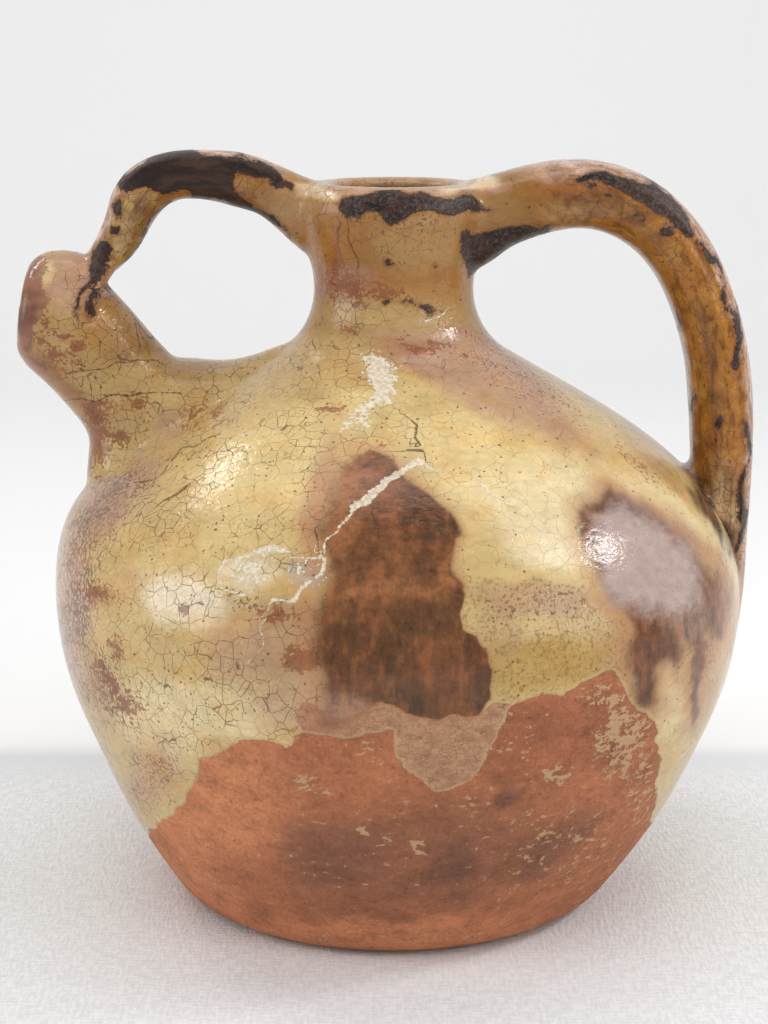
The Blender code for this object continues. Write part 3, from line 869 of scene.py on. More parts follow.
def seenFrom(points):
    # Where the camera sees each point, in the photograph's pixels; the far half is taken as mirrored
    turn = math.radians(view["downward"])
    focal = view["lens"] / view["sensor"] * view["photoHeight"]
    x = points[:, 0] - view["place"][0]
    y = -np.abs(points[:, 1]) - view["place"][1]
    z = points[:, 2] - view["place"][2]
    depth = y * math.cos(turn) - z * math.sin(turn)
    down = -y * math.sin(turn) - z * math.cos(turn)
    return view["photoWidth"] / 2 + focal * x / depth, view["photoHeight"] / 2 + focal * down / depth


def waver(points, size, amount, phase):
    # Gentle irregular drift that keeps painted edges from looking drawn
    p = points / size * 2 * math.pi
    first = np.sin(p[:, 0] + 1.7 * np.sin(0.8 * p[:, 2] + phase) + 0.6 * p[:, 1])
    second = np.sin(1.3 * p[:, 2] + 1.9 * np.sin(0.7 * p[:, 0] - phase) - 0.5 * p[:, 1] + 2 * phase)
    return amount * (first + second)


def ovalReach(u, v, cx, cy, length, breadth, turn):
    # Nought at the middle of an oval spot and one on its edge
    c, s = math.cos(math.radians(turn)), math.sin(math.radians(turn))
    along = ((u - cx) * c + (v - cy) * s) / length
    across = (-(u - cx) * s + (v - cy) * c) / breadth
    return np.hypot(along, across)


def blend(first, second, share):
    return first * (1 - share)[:, None] + second * share[:, None]


def blendWash(wash, share, colour):
    return blend(wash, np.array(palette[colour]), share)


def layWash(wash, strokes, u, v):
    for colour, *oval, strength, softness in strokes:
        reach = np.clip((1 + softness / 2 - ovalReach(u, v, *oval)) / softness, 0, 1)
        wash = blendWash(wash, strength * reach * reach * (3 - 2 * reach), colour)
    return wash


def blotDistance(spots, u, v):
    # Signed distance to the nearest of several oval spots, above zero inside
    return np.max([(1 - ovalReach(u, v, *spot)) * min(spot[2:4]) for spot in spots], axis=0)


def towardsSegment(u, v, start, end):
    # Offset from the nearest place on a line's stretch, and how far along that stretch it is
    (ax, ay), (bx, by) = start, end
    dx, dy = bx - ax, by - ay
    t = np.clip(((u - ax) * dx + (v - ay) * dy) / (dx * dx + dy * dy), 0, 1)
    return np.hypot(u - ax - t * dx, v - ay - t * dy), t


def inwardDistance(corners, u, v):
    # Signed distance to a closed outline, in pixels, above zero inside it
    nearest = np.full(len(u), np.inf)
    inside = np.zeros(len(u), bool)
    for start, end in zip(corners, corners[1:] + corners[:1]):
        nearest = np.minimum(nearest, towardsSegment(u, v, start, end)[0])
        (ax, ay), (bx, by) = start, end
        if by != ay:
            crosses = (ay > v) != (by > v)
            inside ^= crosses & (u < ax + (v - ay) / (by - ay) * (bx - ax))
    return np.where(inside, nearest, -nearest)


def lineDistance(corners, u, v):
    # Signed distance to an open line and the half breadth of the line there, in pixels
    best = np.full(len(u), np.inf)
    side = np.zeros(len(u))
    breadth = np.full(len(u), laying["noLine"])
    for (ax, ay, startBreadth), (bx, by, endBreadth) in zip(corners, corners[1:]):
        away, t = towardsSegment(u, v, (ax, ay), (bx, by))
        closer = away < best
        best = np.where(closer, away, best)
        turned = np.sign((u - ax) * (by - ay) - (v - ay) * (bx - ax))
        side = np.where(closer, turned * away, side)
        breadth = np.where(closer, startBreadth + (endBreadth - startBreadth) * t, breadth)
    return side, np.where(best < laying["lineReach"], breadth, laying["noLine"])


def lineMarks(lines, u, v):
    side, breadth = lineDistance(lines[0], u, v)
    for line in lines[1:]:
        otherSide, otherBreadth = lineDistance(line, u, v)
        closer = np.abs(otherSide) - otherBreadth < np.abs(side) - breadth
        side = np.where(closer, otherSide, side)
        breadth = np.where(closer, otherBreadth, breadth)
    return side, breadth


def storeValue(item, name, values, limit=None):
    if limit is not None:
        values = np.clip(values, -limit, limit)
    if values.ndim == 2:
        layer = item.data.attributes.new(name, "FLOAT_COLOR", "POINT")
        layer.data.foreach_set("color", np.hstack([values, np.ones((len(values), 1))]).ravel())
    else:
        layer = item.data.attributes.new(name, "FLOAT", "POINT")
        layer.data.foreach_set("value", values)


def flatWash(points, colour):
    return np.tile(np.array(palette[colour]), (len(points), 1))


def strapShare(strap, run, length):
    # A strap's own look fades in where it leaves the neck and out at its far end
    near, far = strap["fade"]
    return smoothStep(*laying["strapStart"], run) * smoothStep(far, near, length - run)


def baseWash(points):
    # Yellow pot, browner neck and rim, ochre spout
    x, z = points[:, 0], points[:, 2]
    neckward = smoothStep(*laying["neckHeights"], z) * smoothStep(*laying["neckSide"], x)
    spoutward = smoothStep(*laying["spoutSide"], x) * smoothStep(*laying["spoutHeights"], z)
    wash = blendWash(flatWash(points, "glazeYellow"), neckward, "ochreBrown")
    return blendWash(wash, spoutward, "ochreYellow")


def washStrap(item, strap, points, u, v):
    # A strap's glaze and how much of it shows
    high, wide, run, length = strapPlaces(points, strap["stations"])
    share = strapShare(strap, run, length)
    base = blendWash(baseWash(points), share, strap["base"])
    wash = blend(layWash(base, nearWash, u, v), layWash(base, strap["wash"], u, v), share)
    # some bands are pale shell stripes, a painted highlight along a strap's edge
    for colour, low, top, strength in strap["bands"]:
        ragged = high + waver(points, *laying["bandDrift"])
        inside = smoothStep(low - 0.1, low + 0.1, ragged) * (1 - smoothStep(top - 0.1, top + 0.1, ragged))
        wash = blendWash(wash, inside * strength * share, colour)
    storeValue(item, "strapHigh", high + laying["sideOffset"] * np.sign(strap["stations"][-1][0]))
    storeValue(item, "strapRun", run / mm + laying["runOffset"])
    return wash, share


def paintPiece(item, strap):
    points = readPoints(item)
    u, v = seenFrom(points)
    far = smoothStep(*laying["farBand"], points[:, 1])
    strayed = 1 + laying["farWobble"] * far
    u = u + strayed * sum(waver(points, *drift) for drift in laying["sidewaysDrift"])
    v = v + strayed * sum(waver(points, *drift) for drift in laying["downwardDrift"])
    share = np.zeros(len(points))
    if strap:
        wash, share = washStrap(item, strap, points, u, v)
    else:
        base = baseWash(points)
        wash = layWash(base, nearWash, u, v)
        if item.name in ("glazed_body", "glazed_collar"):
            wash = blend(wash, layWash(base, farWash, u, v), far)
    z = points[:, 2]
    fromAxis = np.hypot(points[:, 0] - pot["neckLean"], points[:, 1])
    mouth = (fromAxis < laying["mouthRadius"]) & (z > laying["mouthFloor"])
    mouth |= (fromAxis < laying["throatRadius"]) & (z > laying["throatFloor"])
    wash = blendWash(wash, 0.8 * mouth, "tan")
    wash = blendWash(wash, 0.8 * mouth * smoothStep(*laying["throatShade"], z), "deepBrown")
    storeValue(item, "strapShare", share)
    storeValue(item, "glazeWash", wash)
    storeValue(item, "clayWash", layWash(flatWash(points, "terracotta"), clayWash, u, v))
    storeValue(item, "brownTint", layWash(flatWash(points, "ironBrown"), brownWash, u, v))
    storeValue(item, "rough", smoothStep(*laying["roughColumns"], u) * (1 - far) + 0.4 * far)
    crazed = (0.35 + 0.65 * smoothStep(*laying["crazedColumns"], u)) * (1 - far) + 0.7 * far
    storeValue(item, "crazed", np.maximum(crazed, 0.9 * share))

    def patches(spots):
        most = np.zeros(len(points))
        for *spot, strength in spots:
            most = np.maximum(most, strength * smoothStep(-0.3, 0.7, 1 - ovalReach(u, v, *spot)))
        return most

    storeValue(item, "flakes", patches(flakeWash))
    lipMark = 0.9 * smoothStep(-1, 1, inwardDistance(lipBand, u, v) / 4)
    storeValue(item, "peel", np.maximum(patches(peelWash), lipMark))

    def bothSides(nearEdge, farEdge=None):
        farValue = inwardDistance(farEdge, u, v) if farEdge else -40.0
        return inwardDistance(nearEdge, u, v) * (1 - far) + farValue * far

    storeValue(item, "bare", bothSides(edges["bareNear"], edges["bareFar"]), 40)
    brownSoft = 1.2 + 9 * smoothStep(*laying["softColumns"], u) + 1.8 * smoothStep(*laying["softRows"], v)
    brown = bothSides(edges["brownNear"], edges["brownFar"]) / brownSoft
    storeValue(item, "brown", np.maximum(brown, bothSides(edges["brownSide"]) / 7), 4)
    for name in ("tongue", "olive", "lilacSheen"):
        storeValue(item, name, bothSides(edges[name]), laying["pixelLimit"])
    storeValue(item, "rust", blotDistance(rust, u, v), laying["pixelLimit"])

    # dark manganese marks; the patch under the handle is also painted shade
    dark = blotDistance(manganese["spots"], u, v)
    for corners in manganese["outlines"]:
        dark = np.maximum(dark, inwardDistance(corners, u, v))
    side, breadth = lineMarks(manganese["lines"], u, v)
    dark = np.maximum(dark, breadth - np.abs(side))
    storeValue(item, "manganese", np.where(mouth, -laying["pixelLimit"], dark), laying["pixelLimit"])

    near = points[:, 1] < 0
    dust = 0.4 * blotDistance(chalk["dust"], u, v) - 5
    dust = np.maximum(dust, inwardDistance(chalk["outline"], u, v) - 1)
    storeValue(item, "chalk", np.where(near, dust, -laying["pixelLimit"]), laying["pixelLimit"])
    for name, lines in (("vein", chalk["lines"]), ("fissure", fissures)):
        side, breadth = lineMarks(lines, u, v)
        storeValue(item, name + "Side", side, laying["lineReach"])
        storeValue(item, name + "Breadth", np.where(near, breadth, laying["noLine"]))


handle["wash"] = [
    ("redBrown", 545, 188, 70, 14, -6, 0.5, 0.8), ("tan", 560, 214, 70, 12, -4, 0.5, 0.9),
    ("flesh", 520, 172, 60, 8, -10, 0.7, 0.7), ("cream", 490, 183, 26, 6, -8, 0.5, 0.8),
    ("ochreBrown", 500, 215, 40, 20, 0, 0.6, 0.9), ("darkAmber", 600, 204, 60, 14, 10, 0.5, 0.9),
    ("ochreBrown", 655, 240, 40, 18, 50, 0.4, 0.9), ("ochreBrown", 710, 345, 16, 60, -6, 0.25, 0.9),
    ("darkAmber", 712, 380, 6, 90, -2, 0.35, 0.9), ("tan", 724, 505, 18, 40, -8, 0.7, 0.9),
    # the blackBrown stroke at 711, 516 is painted shade in the crease where the handle's foot meets the
    # body
    ("glazeYellow", 742, 560, 10, 50, 0, 0.6, 0.9), ("blackBrown", 711, 516, 56, 10, 62, 1.0, 0.8),
    ("rosy", 745, 560, 7, 60, 4, 0.4, 0.9), ("flesh", 545, 168, 70, 12, -2, 0.8, 0.8),
]
# the pale shell bands along the handle's outer and inner edges are painted highlights
handle["bands"] = [
    ("flesh", 0.60, 1.8, 0.85), ("shellSheen", 0.80, 1.8, 0.6), ("ochreBrown", -0.9, -0.6, 0.3),
    ("shellSheen", -1.8, -0.97, 0.5),
]
bridge["wash"] = [
    ("amber", 200, 185, 80, 26, 0, 0.75, 0.8), ("ochreYellow", 128, 235, 20, 50, 18, 0.7, 0.8),
    ("ochreBrown", 140, 230, 10, 50, 24, 0.5, 0.9), ("darkAmber", 138, 226, 30, 20, -60, 0.35, 0.9),
    ("amber", 255, 190, 30, 14, 40, 0.8, 0.7), ("darkAmber", 258, 194, 28, 12, 40, 0.5, 0.9),
    ("orangeTan", 245, 185, 10, 8, 20, 0.5, 0.9), ("tan", 295, 205, 20, 26, 30, 0.7, 0.8),
    ("amber", 92, 295, 14, 24, 20, 0.6, 0.8),
]
# the pale shell band along the bridge's top is a painted highlight
bridge["bands"] = [
    ("shellSheen", 0.70, 1.6, 0.9), ("tan", -1.6, -0.88, 0.5),
]

bridge["base"] = "ochreBrown"
bridge["fade"] = (14 * mm, 4 * mm)
handle["base"] = "amber"
handle["fade"] = (30 * mm, 12 * mm)
straps = {"glazed_bridge": bridge, "glazed_handle": handle}
for name, piece in pieces.items():
    paintPiece(piece, straps.get(name))
print("washes laid")


# Small helpers that build shader nodes; the tree is that of the sockets handed in

def newMaterial(name):
    material = bpy.data.materials.new(name)
    material.use_nodes = True
    return material, material.node_tree, material.node_tree.nodes["Principled BSDF"]


def isSocket(value):
    return isinstance(value, bpy.types.NodeSocket)


def feed(made, key, value):
    if isSocket(value):
        made.id_data.links.new(value, made.inputs[key])
    else:
        made.inputs[key].default_value = value


def addNode(tree, kind, inputs=None, **settings):
    made = tree.nodes.new("ShaderNode" + kind)
    for key, value in settings.items():
        setattr(made, key, value)
    for key, value in (inputs or {}).items():
        feed(made, key, value)
    return made


def treeOf(*values):
    return next(value.id_data for value in values if isSocket(value))


def calc(operation, first, second=0.0, clamp=False):
    inputs = {0: first, 1: second}
    return addNode(treeOf(first, second), "Math", inputs, operation=operation, use_clamp=clamp).outputs[0]


def times(first, second):
    return calc("MULTIPLY", first, second)


def plus(first, second):
    return calc("ADD", first, second)


def less(first, second):
    return calc("SUBTRACT", first, second)


def rise(value, low, high):
    inputs = {0: value, 1: low, 2: high}
    return addNode(value.id_data, "MapRange", inputs, interpolation_type="SMOOTHSTEP").outputs[0]


def laidOver(share, under, over, mode="MIX"):
    made = addNode(treeOf(share, under, over), "Mix", data_type="RGBA", blend_type=mode)
    feed(made, 0, share)
    feed(made, 6, under if isSocket(under) else (*under, 1))
    feed(made, 7, over if isSocket(over) else (*over, 1))
    return made.outputs[2]


def vectorStep(operation, first, second):
    return addNode(first.id_data, "VectorMath", {0: first, 1: second}, operation=operation).outputs[0]


def splitAxes(place):
    return addNode(place.id_data, "SeparateXYZ", {0: place}).outputs


def toned(colour, tone):
    # The colour made darker or lighter by a tone around one
    grey = addNode(tone.id_data, "CombineXYZ", {0: tone, 1: tone, 2: tone}).outputs[0]
    return laidOver(1.0, colour, grey, "MULTIPLY")


def noise(place, size, detail, rough=0.5, warp=0.0):
    # Noise with blotches about this size across, in metres
    inputs = {"Vector": place, "Scale": 1 / size, "Detail": detail, "Roughness": rough, "Distortion": warp}
    return addNode(place.id_data, "TexNoise", inputs)


def cloud(place, size, rough=0.6, warp=0.0):
    return noise(place, size, 3.0, rough, warp).outputs["Fac"]


# Glaze over clay; sizes in metres, heights of relief in millimetres

glaze = {
    "roughness": 0.13,
    "bareRoughness": 0.72,
    "specular": 0.38,
    "crazeSize": 3.7 * mm,
    "crazeBreadth": 0.034,
    "fineCrazeSize": 1.6 * mm,
    "fineCrazeBreadth": 0.05,
    "wander": 1.4 * mm,
    "speckSize": 1.4 * mm,
    "thickness": 0.32,
    "lipBreadth": 5.0,
}

# Colours of the small marks that the materials lay over the washes
tints = {
    "warmPot": (1.0, 0.8, 0.55),
    "warmStrap": (1.0, 0.9, 0.75),
    "blotchDark": (0.45, 0.38, 0.4),
    "blotchLight": (1.35, 1.6, 1.9),
    "thread": (0.35, 0.26, 0.22),
    "grainShade": (0.55, 0.42, 0.3),
    "crazeLine": (0.15, 0.068, 0.032),
    "speck": (0.085, 0.04, 0.02),
    "peelDark": (0.18, 0.074, 0.048),
    "peelPale": (0.33, 0.158, 0.097),
    "oliveBlot": (0.30, 0.17, 0.08),
    "oliveFleck": (0.17, 0.085, 0.035),
    "tongueDark": (0.36, 0.15, 0.085),
    "tonguePale": (0.47, 0.24, 0.145),
    "tongueFleck": (0.22, 0.09, 0.05),
    "tongueLine": (0.15, 0.06, 0.04),
    "rustDark": (0.19, 0.05, 0.022),
    "rustPale": (0.31, 0.10, 0.04),
    "brownRun": (0.29, 0.09, 0.028),
    "brownFleck": (0.05, 0.02, 0.012),
    "brownHalo": (0.42, 0.16, 0.07),
    # grey-lilac tints: plum glaze mottled under a painted sheen
    "lilacSheenDark": (0.495, 0.375, 0.335),
    "lilacSheenPale": (0.55, 0.44, 0.40),
    "lilacFleck": (0.24, 0.14, 0.11),
    "clayRun": (0.55, 0.45, 0.45),
    "claySpeck": (0.10, 0.04, 0.02),
    "flake": (0.56, 0.35, 0.19),
    "glazeLip": (0.68, 0.48, 0.27),
    "blackDark": (0.020, 0.010, 0.007),
    "blackPale": (0.058, 0.026, 0.017),
    "blackSheen": (0.12, 0.108, 0.10),
    "blackHalo": (0.23, 0.085, 0.03),
    "fissure": (0.08, 0.038, 0.024),
    "chalkDark": (0.62, 0.52, 0.40),
    "chalkPale": (0.83, 0.76, 0.60),
    "clothShade": (0.765, 0.78, 0.80),
    "clothPale": (0.88, 0.89, 0.905),
    "backdrop": (0.92, 0.92, 0.92),
}


def coat(colour, share, amount, tint, mode="MIX"):
    # One more colour laid over what is there: its share of the surface, times how strong it is
    return laidOver(times(share, amount), colour, tints[tint], mode)


def between(share, first, second):
    return laidOver(share, tints[first], tints[second])


def glazedClay(name, streaked=False):
    material, tree, shader = newMaterial(name)
    place = addNode(tree, "TexCoord").outputs["Object"]

    def attribute(called, output="Fac"):
        return addNode(tree, "Attribute", attribute_name=called).outputs[output]

    # blotches follow the wheel, or run lengthwise along a strap
    thrown = vectorStep("MULTIPLY", place, (1, 1, 1.8))
    if streaked:
        inputs = {
            0: times(attribute("strapHigh"), 7 * mm),
            1: splitAxes(place)["Y"],
            2: times(attribute("strapRun"), 0.22 * mm),
        }
        pulled = addNode(tree, "CombineXYZ", inputs).outputs[0]
        strapped = attribute("strapShare")
        thrown = addNode(tree, "Mix", {0: strapped, 4: thrown, 5: pulled}, data_type="VECTOR").outputs[1]
    broadNoise = noise(thrown, 12 * mm, 2.0)
    channels = addNode(tree, "SeparateColor", {0: broadNoise.outputs["Color"]})
    broad, warmth, presence = [channels.outputs[index] for index in range(3)]
    middle = cloud(thrown, 3.2 * mm)
    fine = cloud(place, 0.9 * mm, 0.65)
    middleLean = less(middle, 0.5)
    fineLean = less(fine, 0.5)

    def ragged(middleShare, fineShare):
        return plus(times(middleLean, middleShare), times(fineLean, fineShare))

    def jagged(amount, middleShare, fineShare):
        # Adds ragged detail to a painted distance
        return plus(amount, ragged(middleShare, fineShare))

    # glaze: tone and warmth drift, then crazing and specks
    colour = attribute("glazeWash", "Color")
    colour = toned(colour, plus(1.0, plus(times(middleLean, 0.5), times(less(broad, 0.5), 0.35))))
    colour = coat(colour, rise(warmth, 0.48, 0.66), 0.4, "warmStrap" if streaked else "warmPot", "MULTIPLY")
    if streaked:
        blotch = cloud(place, 4.5 * mm, 0.6, 0.4)
        fibre = cloud(thrown, 1.5 * mm, 0.65)
        colour = coat(colour, times(rise(blotch, 0.50, 0.64), strapped), 0.6, "blotchDark", "MULTIPLY")
        colour = coat(colour, times(rise(blotch, 0.47, 0.34), strapped), 0.6, "blotchLight", "MULTIPLY")
        colour = coat(colour, times(rise(fibre, 0.50, 0.64), strapped), 0.6, "thread", "MULTIPLY")
    colour = coat(colour, rise(fine, 0.6, 0.8), 0.35, "grainShade", "MULTIPLY")
    shift = vectorStep("SUBTRACT", noise(place, 4 * mm, 1.0).outputs["Color"], (0.5, 0.5, 0.5))
    shift = addNode(tree, "VectorMath", {0: shift, "Scale": glaze["wander"]}, operation="SCALE").outputs[0]
    warped = vectorStep("ADD", place, shift)

    def cells(size, feature):
        return addNode(tree, "TexVoronoi", {"Vector": warped, "Scale": 1 / size}, feature=feature).outputs

    def craze(size, breadth):
        return less(1.0, rise(cells(size, "DISTANCE_TO_EDGE")["Distance"], 0.0, breadth))

    coarseLine = craze(glaze["crazeSize"], glaze["crazeBreadth"])
    fineLine = craze(glaze["fineCrazeSize"], glaze["fineCrazeBreadth"])
    strength = times(plus(times(rise(presence, 0.34, 0.60), 0.85), 0.15), attribute("crazed"))
    lines = calc("MULTIPLY", plus(times(coarseLine, 0.9), times(fineLine, 0.38)), strength, True)
    colour = laidOver(lines, colour, tints["crazeLine"])
    specks = cells(glaze["speckSize"], "F1")
    dice = addNode(tree, "SeparateColor", {0: specks["Color"]})
    reach = plus(0.12, times(dice.outputs[1], 0.16))
    speck = rise(less(reach, plus(specks["Distance"], times(fineLean, 0.25))), -0.03, 0.04)
    speck = times(speck, rise(dice.outputs[0], 0.80, 0.84))
    colour = coat(colour, speck, 0.75, "speck")
    peeled = rise(jagged(attribute("peel"), 1.0, 2.0), 0.38, 0.50)
    colour = laidOver(times(peeled, 0.8), colour, between(rise(broad, 0.4, 0.6), "peelDark", "peelPale"))

    # olive patch with dark specks
    olive = rise(jagged(attribute("olive"), 5, 3), -1.5, 1.5)
    oliveColour = coat(colour, rise(middle, 0.48, 0.64), 0.35, "oliveBlot")
    oliveColour = coat(oliveColour, rise(fine, 0.5, 0.62), 0.55, "oliveFleck")
    colour = laidOver(times(olive, 0.8), colour, oliveColour)

    # pinkish thin glaze, finely crackled
    tongue = rise(jagged(attribute("tongue"), 4, 2), -1.0, 1.0)
    thin = between(rise(middle, 0.35, 0.65), "tongueDark", "tonguePale")
    thin = coat(thin, rise(fine, 0.56, 0.7), 0.45, "tongueFleck")
    thin = coat(thin, fineLine, 0.8, "tongueLine")
    colour = laidOver(times(tongue, 0.85), colour, thin)

    # rust smears and iron brown
    rusted = rise(jagged(attribute("rust"), 24, 34), -1.5, 3.5)
    colour = laidOver(times(rusted, 0.8), colour, between(rise(fine, 0.42, 0.66), "rustDark", "rustPale"))
    brown = jagged(attribute("brown"), 1.7, 0.8)
    brownShare = rise(brown, -1.1, 1.1)
    drip = less(cloud(vectorStep("MULTIPLY", place, (1, 1, 0.4)), 2.4 * mm, 0.65), 0.5)
    brownTone = plus(plus(1.0, times(drip, 2.4)), ragged(0.9, 0.9))
    brownColour = toned(attribute("brownTint", "Color"), brownTone)
    brownColour = coat(brownColour, rise(drip, 0.06, 0.16), 0.4, "brownRun")
    brownColour = coat(brownColour, rise(fine, 0.6, 0.75), 0.5, "brownFleck")
    brownHalo = times(rise(brown, -3.2, -0.6), less(1.0, brownShare))
    colour = coat(colour, brownHalo, 0.42, "brownHalo")
    colour = laidOver(times(brownShare, 0.95), colour, brownColour)
    # grey-lilac patch over the brown: plum glaze with a painted sheen
    lilacSheen = rise(jagged(attribute("lilacSheen"), 14, 10), -15.0, 13.0)
    lilacSheenColour = between(rise(middle, 0.34, 0.68), "lilacSheenDark", "lilacSheenPale")
    lilacSheenColour = coat(lilacSheenColour, rise(fine, 0.58, 0.7), 0.4, "lilacFleck")
    colour = laidOver(times(lilacSheen, 0.78), colour, lilacSheenColour)

    # bare clay with smudges and flakes of old glaze
    bareEdge = jagged(attribute("bare"), 5.0, 4.5)
    bareShare = rise(bareEdge, -0.5, 0.5)
    clayTone = plus(times(middleLean, 0.8), plus(times(less(broad, 0.5), 0.8), times(fineLean, 0.9)))
    clayColour = toned(attribute("clayWash", "Color"), plus(1.0, clayTone))
    clayColour = coat(clayColour, rise(drip, 0.05, 0.18), 0.35, "clayRun", "MULTIPLY")
    clayColour = coat(clayColour, speck, 0.5, "claySpeck")
    flakeNoise = plus(plus(times(middle, 0.75), times(fine, 0.35)), attribute("flakes"))
    flakes = rise(flakeNoise, 0.69, 0.72)
    clayColour = coat(clayColour, flakes, 0.85, "flake")
    lip = times(rise(bareEdge, -glaze["lipBreadth"], -0.8), less(1.0, bareShare))
    colour = coat(colour, lip, 0.4, "glazeLip")
    colour = laidOver(bareShare, colour, clayColour)

    # bare manganese (under the handle also painted shade), open cracks and chalk
    darkEdge = jagged(attribute("manganese"), 6.5, 8.0)
    darkShare = rise(darkEdge, -0.5, 0.6)
    darkColour = between(rise(middle, 0.42, 0.62), "blackDark", "blackPale")
    greyness = plus(0.06, times(rise(splitAxes(place)["X"], -30 * mm, -10 * mm), 0.45))
    darkColour = laidOver(times(rise(fine, 0.50, 0.64), greyness), darkColour, tints["blackSheen"])
    halo = times(rise(darkEdge, -4.0, -0.4), less(1.0, darkShare))
    colour = coat(colour, halo, 0.6, "blackHalo")
    colour = laidOver(darkShare, colour, darkColour)

    def lineGap(called):
        return less(attribute(called + "Breadth"), calc("ABSOLUTE", attribute(called + "Side")))

    fissure = rise(jagged(less(lineGap("fissure"), 0.25), 3.0, 3.0), -0.7, 0.6)
    colour = coat(colour, fissure, 0.8, "fissure")
    vein = jagged(less(lineGap("vein"), 0.5), 3.0, 5.0)
    chalkShare = rise(calc("MAXIMUM", vein, jagged(attribute("chalk"), 18, 22)), -0.7, 0.6)
    chalkColour = between(rise(fine, 0.4, 0.62), "chalkDark", "chalkPale")
    colour = laidOver(times(chalkShare, 0.88), colour, chalkColour)

    feed(shader, "Base Color", colour)
    dull = calc("MAXIMUM", bareShare, times(chalkShare, 0.8))
    gloss = plus(plus(glaze["roughness"], times(rise(fine, 0.45, 0.75), 0.16)), times(darkShare, 0.18))
    rough = addNode(tree, "Mix", {0: dull, 2: gloss, 3: glaze["bareRoughness"]}, data_type="FLOAT")
    feed(shader, "Roughness", rough.outputs[0])

    # relief, in millimetres
    relief = times(less(1.0, rise(bareEdge, -2.5, 1.0)), glaze["thickness"])
    reliefs = [
        times(times(fine, bareShare), 0.32),
        times(times(middle, bareShare), times(attribute("rough"), 1.1)),
        times(times(flakes, bareShare), 0.12),
        plus(times(middle, 0.18), times(fine, 0.04)),
        times(times(coarseLine, -0.03), less(1.0, brownShare)),
        times(rise(darkEdge, -1.5, 1.5), 0.16),
        times(times(fine, darkShare), 0.22),
        times(fissure, -0.2),
        times(chalkShare, 0.06),
    ]
    for height in reliefs:
        relief = plus(relief, height)
    bump = addNode(tree, "Bump", {"Height": relief, "Distance": 1 * mm, "Strength": 1.0})
    feed(shader, "Normal", bump.outputs[0])
    feed(shader, "IOR", 1.45)
    feed(shader, "Specular IOR Level", glaze["specular"])
    return material


potFinish = glazedClay("crazed_yellow_glaze")
strapFinish = glazedClay("streaked_amber_glaze", True)
for name, piece in pieces.items():
    piece.data.materials.clear()
    piece.data.materials.append(strapFinish if name in straps else potFinish)
print("glaze made")


# Each piece stands in for one CAD node

places = {
    "glazed_body": ("body", "yellow_glaze_over_clay"),
    "glazed_neck": ("neck", "ochre_glaze"),
    "glazed_rim": ("rim", "dark_edged_glaze"),
    "glazed_spout": ("spout", "crackled_glaze"),
    "glazed_collar": ("spout_collar", "smoothed_glaze"),
    "glazed_bridge": ("bridge", "brown_black_glaze"),
    "glazed_handle": ("handle", "amber_glaze"),
}
for name, (node, slot) in places.items():
    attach(pieces[name], "root")
    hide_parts(node)

# Pale table, backdrop and soft studio lamps

studio = {
    "worldStrength": 0.40,
    # place, aim, width, height, watts
    "lamps": {
        "front": ((-0.25, -0.80, 1.15), (0, 0, 0.08), 0.9, 0.7, 4.5),
        "rightFill": ((1.10, -0.75, 0.60), (0, 0, 0.08), 0.7, 0.7, 4.6),
        "leftFill": ((-1.3, -0.32, 0.45), (0, 0, 0.08), 0.7, 0.7, 5.0),
        "rightWindow": ((0.816, -0.035, 0.735), (0.046, -0.065, 0.105), 0.16, 0.10, 2.4),
        "leftWindow": ((-0.58, 0.38, 0.84), (-0.042, -0.049, 0.119), 0.26, 0.028, 1.0),
        "spoutWindow": ((0.714, -0.275, 0.869), (-0.067, -0.011, 0.143), 0.05, 0.16, 0.6),
        "backdropWash": ((0.0, 0.15, 1.9), (0, 1.1, 0.4), 1.6, 0.6, 6.4),
    },
}

# Cloth from the front edge, flat under the pitcher, swept up far behind it
sweep = {
    "front": -1.5,
    "back": 1.3,
    "halfWidth": 2.2,
    "height": 1.9,
    "bendRadius": 0.5,
    "bendSteps": 14,
}

bpy.ops.object.select_all(action="DESELECT")
bpy.ops.mesh.primitive_plane_add(size=2)
floor = bpy.context.object
floor.name = "floor"
corners = readPoints(floor)
corners[:, 0] *= sweep["halfWidth"]
flatBack = sweep["back"] - sweep["bendRadius"]
corners[:, 1] = np.where(corners[:, 1] > 0, flatBack, sweep["front"])
writePoints(floor, corners)
editAll()
bpy.ops.mesh.select_mode(type="EDGE")
bpy.ops.mesh.select_all(action="DESELECT")
editEnd()
for edge in floor.data.edges:
    edge.select = all(floor.data.vertices[index].co.y > 0 for index in edge.vertices)
bpy.ops.object.mode_set(mode="EDIT")
turn = math.pi / 2 / sweep["bendSteps"]
chord = 2 * sweep["bendRadius"] * math.sin(turn / 2)
for count in range(sweep["bendSteps"]):
    angle = turn * (count + 0.5)
    offset = (0, chord * math.cos(angle), chord * math.sin(angle))
    bpy.ops.mesh.extrude_region_move(TRANSFORM_OT_translate={"value": offset})
bpy.ops.mesh.extrude_region_move(TRANSFORM_OT_translate={"value": (0, 0, sweep["height"])})
bpy.ops.mesh.select_all(action="SELECT")
bpy.ops.mesh.normals_make_consistent(inside=False)
editEnd()
if floor.data.polygons[0].normal.z < 0:
    onlySelect(floor)
    editAll()
    bpy.ops.mesh.flip_normals()
    editEnd()
bpy.ops.object.shade_smooth()


cloth = {
    "threadSpacing": 1.5 * mm,
    "threadWander": 6.6,
    "wanderScale": 60.0,
    "slubAlong": 250.0,
    "slubAcross": 1100.0,
    "edge": 94 * mm,
    "edgeFade": 30 * mm,
    "roughness": 0.95,
    "relief": 0.35,
}


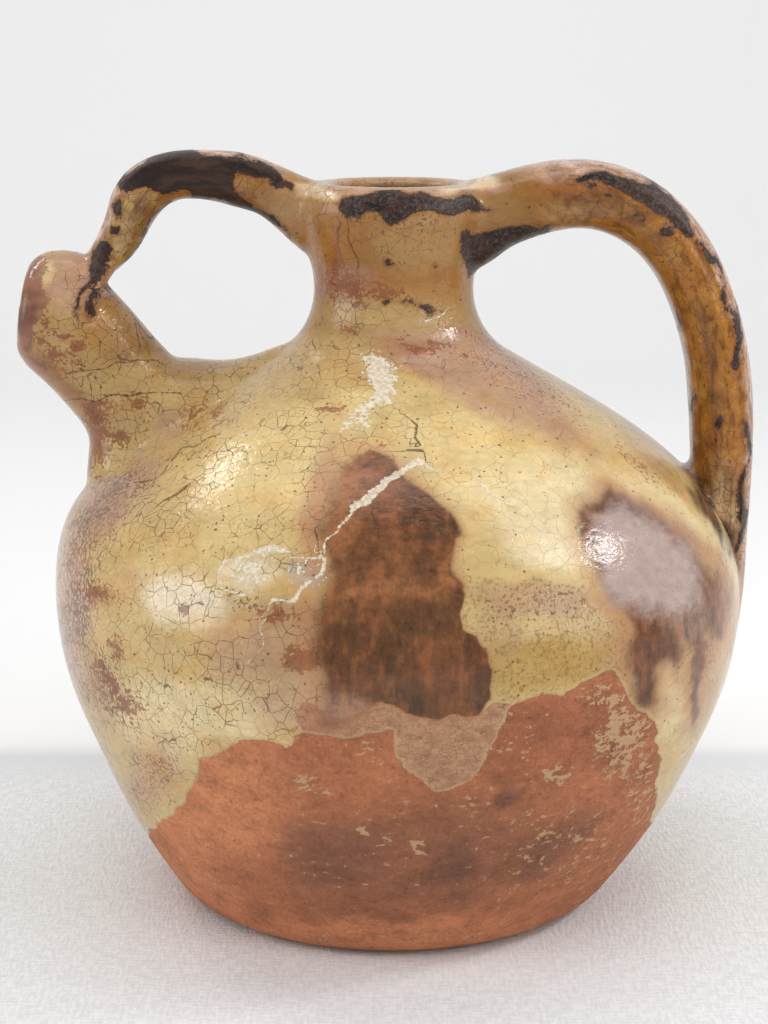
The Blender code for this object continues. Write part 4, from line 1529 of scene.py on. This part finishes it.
def linenCloth():
    # Plain weave near the pitcher, which the eye loses beyond the cloth's soft edge
    material, tree, shader = newMaterial("paleLinen")
    place = addNode(tree, "TexCoord").outputs["Object"]
    drift = times(noise(place, 1 / cloth["wanderScale"], 2.0).outputs["Fac"], cloth["threadWander"])

    def threads(axis):
        phase = times(splitAxes(place)[axis], 2 * math.pi / cloth["threadSpacing"])
        return calc("SINE", plus(phase, drift))

    def slubs(*stretch):
        return noise(vectorStep("MULTIPLY", place, (*stretch, 1.0)), 1.0, 2.0).outputs["Fac"]

    weave = times(threads("X"), threads("Y"))
    along, across = cloth["slubAlong"], cloth["slubAcross"]
    slub = plus(slubs(along, across), slubs(across, along))
    depth = splitAxes(place)["Y"]
    nearness = less(1.0, rise(depth, cloth["edge"] - cloth["edgeFade"], cloth["edge"]))
    linen = between(times(rise(slub, 0.75, 1.25), nearness), "clothShade", "clothPale")
    beyond = rise(depth, cloth["edge"] - 4 * mm, cloth["edge"] + 12 * mm)
    feed(shader, "Base Color", laidOver(beyond, linen, tints["backdrop"]))
    feed(shader, "Roughness", cloth["roughness"])
    height = times(plus(times(weave, 0.12), times(slub, 0.9)), nearness)
    bump = addNode(tree, "Bump", {"Height": height, "Distance": 1 * mm, "Strength": cloth["relief"]})
    feed(shader, "Normal", bump.outputs[0])
    return material


floor.data.materials.append(linenCloth())
print("floor laid")

for name, (where, target, width, height, watts) in studio["lamps"].items():
    bpy.ops.object.light_add(type="AREA", location=where)
    lamp = bpy.context.object
    lamp.name = name
    lamp.data.shape = "RECTANGLE"
    lamp.data.size = width
    lamp.data.size_y = height
    lamp.data.energy = watts
    lamp.visible_glossy = name != "front"
    lamp.rotation_euler = (Vector(target) - Vector(where)).to_track_quat("-Z", "Y").to_euler()

world = bpy.data.worlds.new("studio")
bpy.context.scene.world = world
world.use_nodes = True
air = world.node_tree.nodes["Background"]
air.inputs["Color"].default_value = (1, 1, 1, 1)
air.inputs["Strength"].default_value = studio["worldStrength"]
bpy.context.scene.view_settings.view_transform = "Standard"
print("studio lit")
